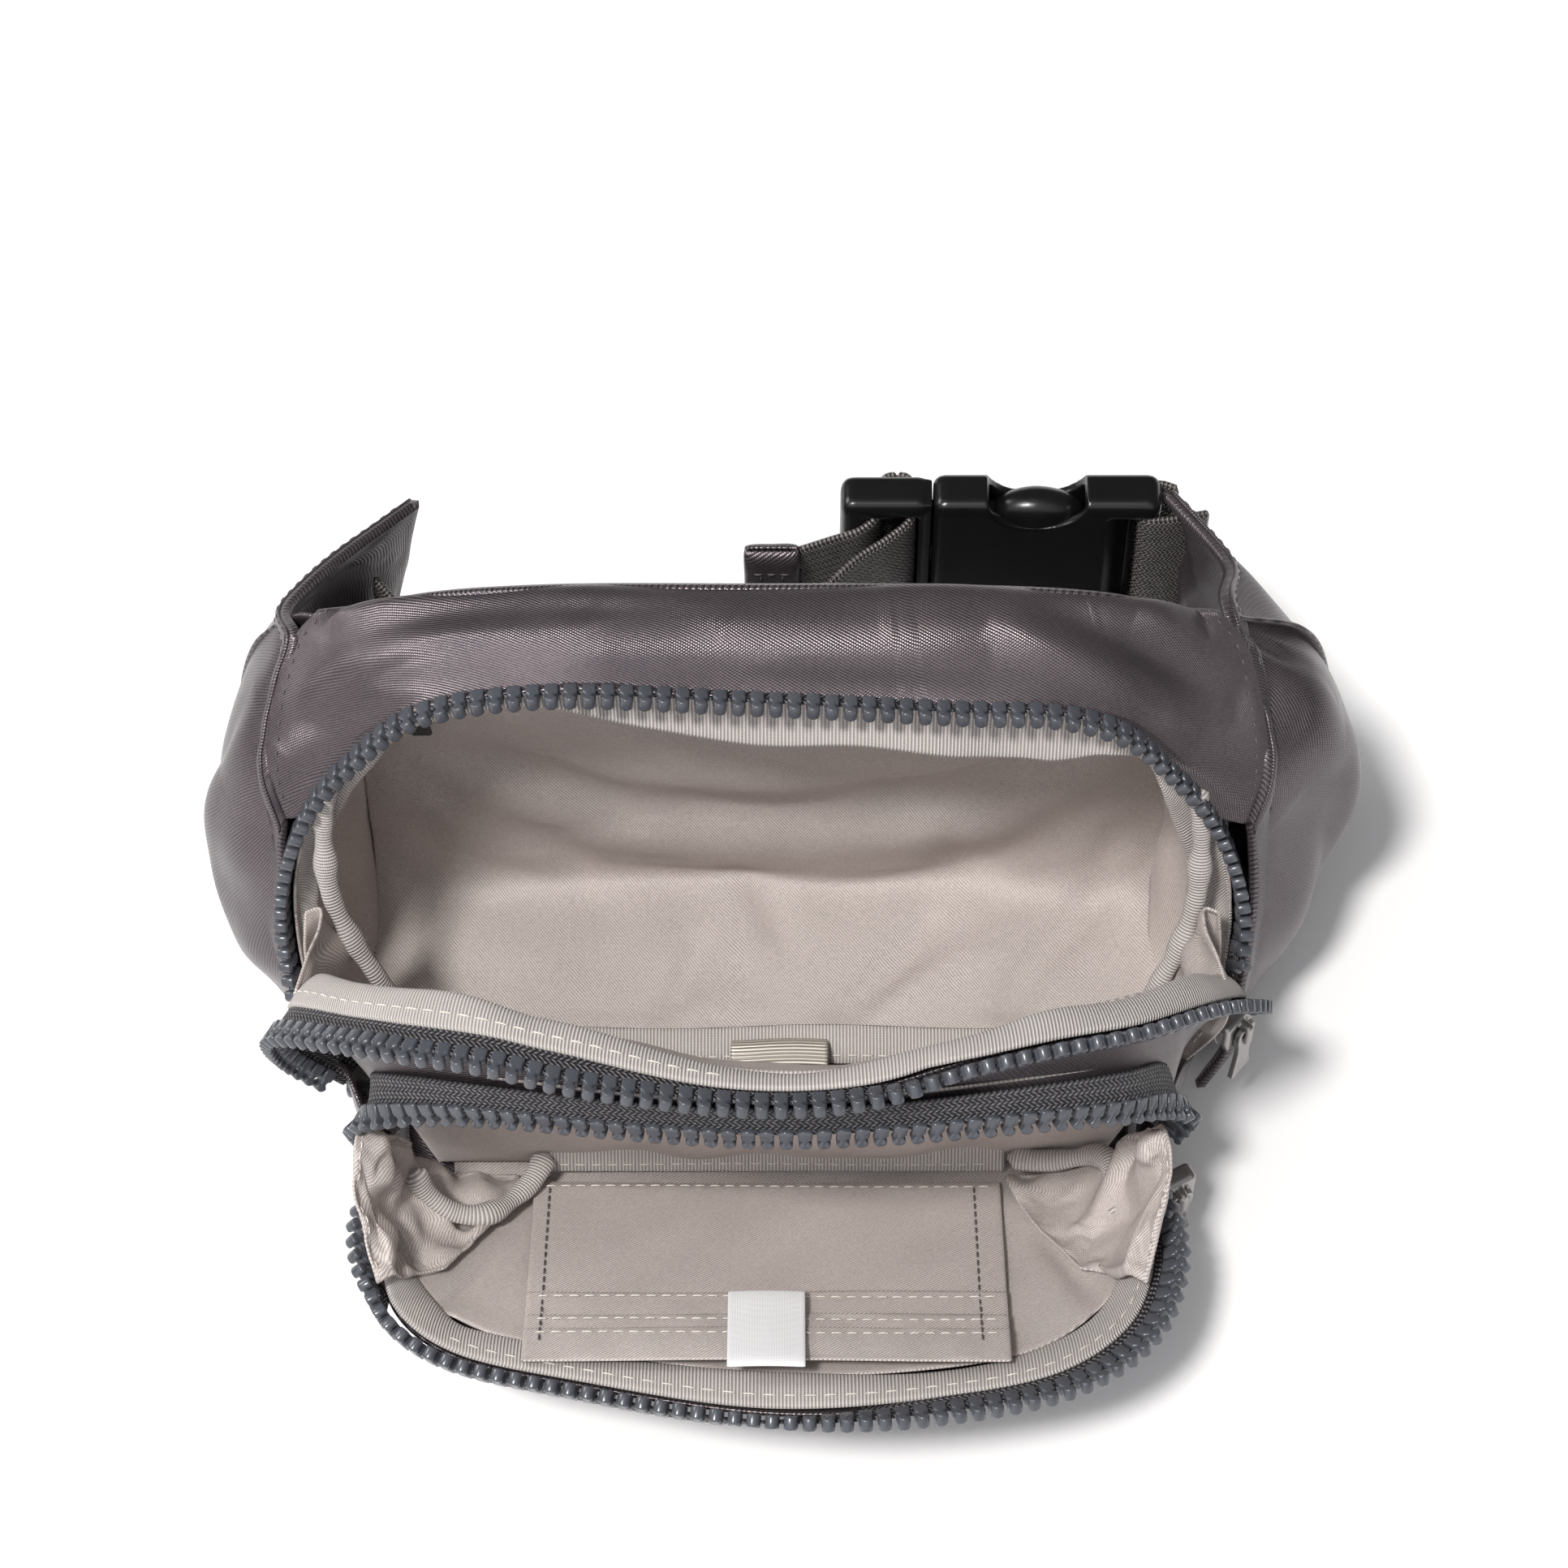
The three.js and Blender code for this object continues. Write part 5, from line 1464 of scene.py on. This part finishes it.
def prong(name, side):
    """A springy arm whose bulging head fills the sleeve's window."""
    arm = [(39.3, 14.4), (50, 13.6), (66, 14.0), (66, 16.4), (50, 17.4), (39.3, 17.4)]
    body = prism(name, [(x, BUCKLE_MID + side * z) for x, z in arm], BUCKLE_Y - 2.4, BUCKLE_Y + 2.4, PLASTIC)
    head = bmesh.new()
    bmesh.ops.create_uvsphere(head, u_segments=40, v_segments=24, radius=1)
    for v in head.verts:
        x, y, z = v.co
        x = 63.6 + (10.4 if x < 0 else 11.2) * x * abs(x) ** 0.12
        v.co = Vector((x, BUCKLE_Y + 5.3 * y, BUCKLE_MID + side * (16.4 + 5.6 * z))) * MM
    bmesh.ops.recalc_face_normals(head, faces=head.faces)
    mesh = bpy.data.meshes.new("head")
    head.to_mesh(mesh)
    head.free()
    dome = bpy.data.objects.new("head", mesh)
    bpy.context.scene.collection.objects.link(dome)
    low, high = sorted((BUCKLE_MID + side * 10.5, BUCKLE_MID + side * 13.9))
    hollow = rounded_box("hollow", (51, 44, low), (77, 61, high), 0.8)
    crest = BUCKLE_MID + side * 19.4
    groove = rounded_box("groove", (53.4, 45, crest - 2.4), (54.4, 60, crest + 2.4), 0.2)
    head_cut = carved(dome, [hollow, groove], voxel=0.35, rounds=2, keep=0.6)
    return carved(body, [], [head_cut], voxel=0.35, rounds=2)


finish_piece(buckle_female(), "rear_body", ["buckle_female"])
finish_piece(buckle_male(), "buckle_male", ["buckle_male"])
for which, side in (("upper", 1), ("lower", -1)):
    finish_piece(prong(f"prong_{which}_arm", side), f"prong_{which}", [f"prong_{which}"])


# ---- belt webbing ----
def strap(name, path, sink=0.0):
    """Webbing that stands on edge along a path of [x, y]. sink lowers its start, where a wing holds it."""
    line = smooth([(x, y, 0) for x, y in path], 160)
    side = np.cross(unit(np.gradient(line, axis=0)), np.array([0, 0, 1.0]))
    line[:, 2] = -sink * (1 - step(line[:, 0], 0, 24))
    rows = []
    for share in np.linspace(0, 1, 34):
        z = WEB_LOW + 1 + (WEB_HIGH - WEB_LOW - 2) * share
        crown = 0.25 * math.sin(math.pi * share)
        rows.append(line + side * crown + np.array([0, 0, z]))
    return sheet(name, np.stack(rows), WEB_THICK, WEBBING)


LEFT_WEB = [(-90, 37), (-80, 26), (-60, 18.5), (-38, 16), (-12, 18.5), (8, 27), (22, 37.5), (30, 43.5),
            (34.2, 48), (35, 53), (34.8, 57.4), (33.4, 59.8), (31.8, 60.2)]
TAIL_WEB = [(30.8, 60.2), (29, 59.8), (27.4, 57.4), (27, 53), (26.2, 48.6), (22.6, 45), (16, 42.4), (8.6, 39.6)]
RIGHT_WEB = [(103, 49.6), (97, 48.4), (93, 47.8), (89, 48), (87, 50), (86.7, 52.5), (87.2, 55.2), (89.2, 57.4),
             (93, 57.8), (96.2, 56.6)]
finish_piece(strap("belt_left", LEFT_WEB, 9), replaces=["webbing_left"], blend=WEB_BEND)
finish_piece(strap("belt_tail", TAIL_WEB), "buckle_male", ["webbing_tail"])
finish_piece(strap("belt_right", RIGHT_WEB), "rear_body", ["webbing_right"])

CAP_Y = 38.6                # the middle of the cloth sleeve on the belt's free end


def tail_cap():
    """The cloth sleeve over the belt's free end: a flat tube with stitched ends."""
    section = [(-3.6, 0.9), (-3.9, 1.9), (-2.6, 2.5), (2, 2.7), (6.6, 2.7), (7.9, 2.0), (7.9, 0), (7.9, -2.0),
               (6.6, -2.7), (2, -2.7), (-2.6, -2.5), (-3.9, -1.9), (-4.0, 0), (-3.6, 0.9)]
    loop = smooth([(x + 0.1, y, 0) for x, y in section], 72)
    centre = np.array([2.0, 0, 0])
    rows = []
    for z, wide, thick in [(50.2, 0.97, 0.2), (50.7, 0.99, 0.5), (52, 1, 0.85), (54, 1, 1), (62, 0.98, 0.97),
                           (72, 1, 1), (80, 0.98, 0.97), (87, 1, 1), (89, 1, 0.85), (90.2, 0.99, 0.5),
                           (90.7, 0.97, 0.2)]:
        rows.append((loop - centre) * np.array([wide, thick, 1]) + centre + np.array([0, CAP_Y, z]))
    return sheet("tail_cap_sleeve", between(rows, 70), 0.9, SHELL)


def cap_stitches(name, xs, zs):
    """A row of stitches on the sleeve's front face."""
    xs, zs = np.broadcast_arrays(xs, zs)
    path = np.stack([xs, np.full(len(xs), CAP_Y - 3.3), zs], 1)
    row = stitches(f"tail_cap_{name}", path, np.array([0.0, -1, 0]), 2.6, 1.9, 0.24, DARK_THREAD)
    finish_piece(row, "buckle_male")


finish_piece(tail_cap(), "buckle_male", ["tail_cap"])
for k, z in enumerate((53.5, 64.0, 77.0, 85.4)):
    cap_stitches(f"stitches_{k}", np.linspace(-2.6, 6.6, 12), z)
for k, x in enumerate((-0.4, 4.6)):
    cap_stitches(f"side_stitches_{k}", x, np.linspace(54, 85, 24))


# ---- sliders, pulls and end stops ----
def turned(obj, place, turn):
    """Moves a piece from a slider's own frame to its place on the bag."""
    c, s = math.cos(turn), math.sin(turn)
    place = Vector(place) * MM
    for v in obj.data.vertices:
        x, y, z = v.co
        v.co = Vector((c * x - s * y, s * x + c * y, z)) + place
    return obj


def slider_body(name):
    body = rounded_box(name, (-5.2, -2.4, -6), (5.2, 2.4, 5.2), 1.3, METAL)
    throat = rounded_box("throat", (-6, -0.9, -7), (6, 0.9, 3.4), 0.3)
    waist = [prism("waist", [(side * 7, -7), (side * 3.6, -7), (side * 5.3, -1), (side * 7, 0)], -3, 3, METAL)
             for side in (-1, 1)]
    bail = rounded_box("bail", (-1.25, -5.6, -3.6), (1.25, -1.6, 4.4), 1.1)
    eye = rounded_box("eye", (-3, -4.3, -2.2), (3, -2.4, 3.0), 0.8)
    loop = carved(bail, [eye], voxel=0.22, rounds=2, keep=1.0)
    return carved(body, [throat, *waist], [loop], voxel=0.24, rounds=3)


def pull_tab(name, length):
    """A flat tab: an eye at its top, a waist, and a broad end with a rounded notch."""
    half = [(1.6, 3.0), (2.9, 2.2), (3.1, -0.5), (2.6, -3.4), (2.3, -6.5), (2.5, -10), (3.1, -length + 3.2),
            (3.4, -length + 1.0), (2.8, -length), (0.9, -length + 0.9)]
    outline = half + [(-x, z) for x, z in half[::-1]]
    tab = prism(name, outline, -4.3, -2.9, METAL)
    eye = rounded_box("eye", (-1.75, -8, -0.4), (1.75, 2, 1.8), 0.7)
    face = rounded_box("face", (-1.7, -5.2, -length + 3), (1.7, -4.0, -7), 0.5)
    return carved(tab, [eye, face], voxel=0.2, rounds=2, keep=0.6)


for which, place, turn, length in (("main", (108, -57.5, 39), 0.87, 19), ("pocket", (94, -91, 22), 0.5, 17)):
    finish_piece(turned(slider_body(f"{which}_slider_body"), place, turn), f"{which}_slider",
                 [f"{which}_slider"])
    finish_piece(turned(pull_tab(f"{which}_pull_tab", length), place, turn), f"{which}_pull",
                 [f"{which}_pull"])


def end_stop(name, low, high):
    body = rounded_box(name, low, high, 1.0, TEETH)
    groove_low = (low[0] + 1.4, low[1] - 1, low[2] + 1.6)
    groove_high = (high[0] - 1.4, low[1] + 0.5, high[2] - 1.6)
    groove = rounded_box("groove", groove_low, groove_high, 0.2)
    return carved(body, [groove], voxel=0.2, rounds=2, keep=0.6)


for which, low, high in (("main", (-97, -66, 17), (-91, -62.6, 21)),
                         ("pocket", (-92, -92.4, 23), (-87, -89.4, 27))):
    finish_piece(end_stop(f"{which}_end_stop", low, high), "front_compartment",
                 [f"{which}_zip_stop"])


# ---- base ----
def base_pad(name, outline, z_low, z_high, swell):
    """A padded base with a rounded edge: the standing panel of padded_panel, laid down."""
    pad = padded_panel(name, outline, z_low, z_high, swell, SHELL)
    for v in pad.data.vertices:
        x, y, z = v.co
        v.co = (x, z, y)
    pad.data.flip_normals()
    return pad


BASE_CORNERS = [(0, -45.4), (70, -45.4), (96, -44), (100, -38), (100, -20), (99.5, -4), (95, 3.4), (60, 4),
                (0, 4), (-60, 4), (-95, 3.4), (-99.5, -4), (-100, -20), (-100, -38), (-96, -44), (-70, -45.4)]
POCKET_CORNERS = [(0, -77.2), (60, -77.2), (82, -76), (85.6, -70), (86, -62), (85.4, -51), (80, -47.2),
                  (0, -47), (-78, -47.2), (-83.6, -51), (-84, -62), (-83.6, -70), (-80, -76), (-60, -77.2)]
for name, corners, body, node in (("base_pad", BASE_CORNERS, "rear_body", "base_panel"),
                                  ("pocket_base_pad", POCKET_CORNERS, "front_compartment", "pocket_base")):
    pad = base_pad(name, arch_outline(corners), 0.3, 2.8, 0.15)
    finish_piece(pad, body, [node])
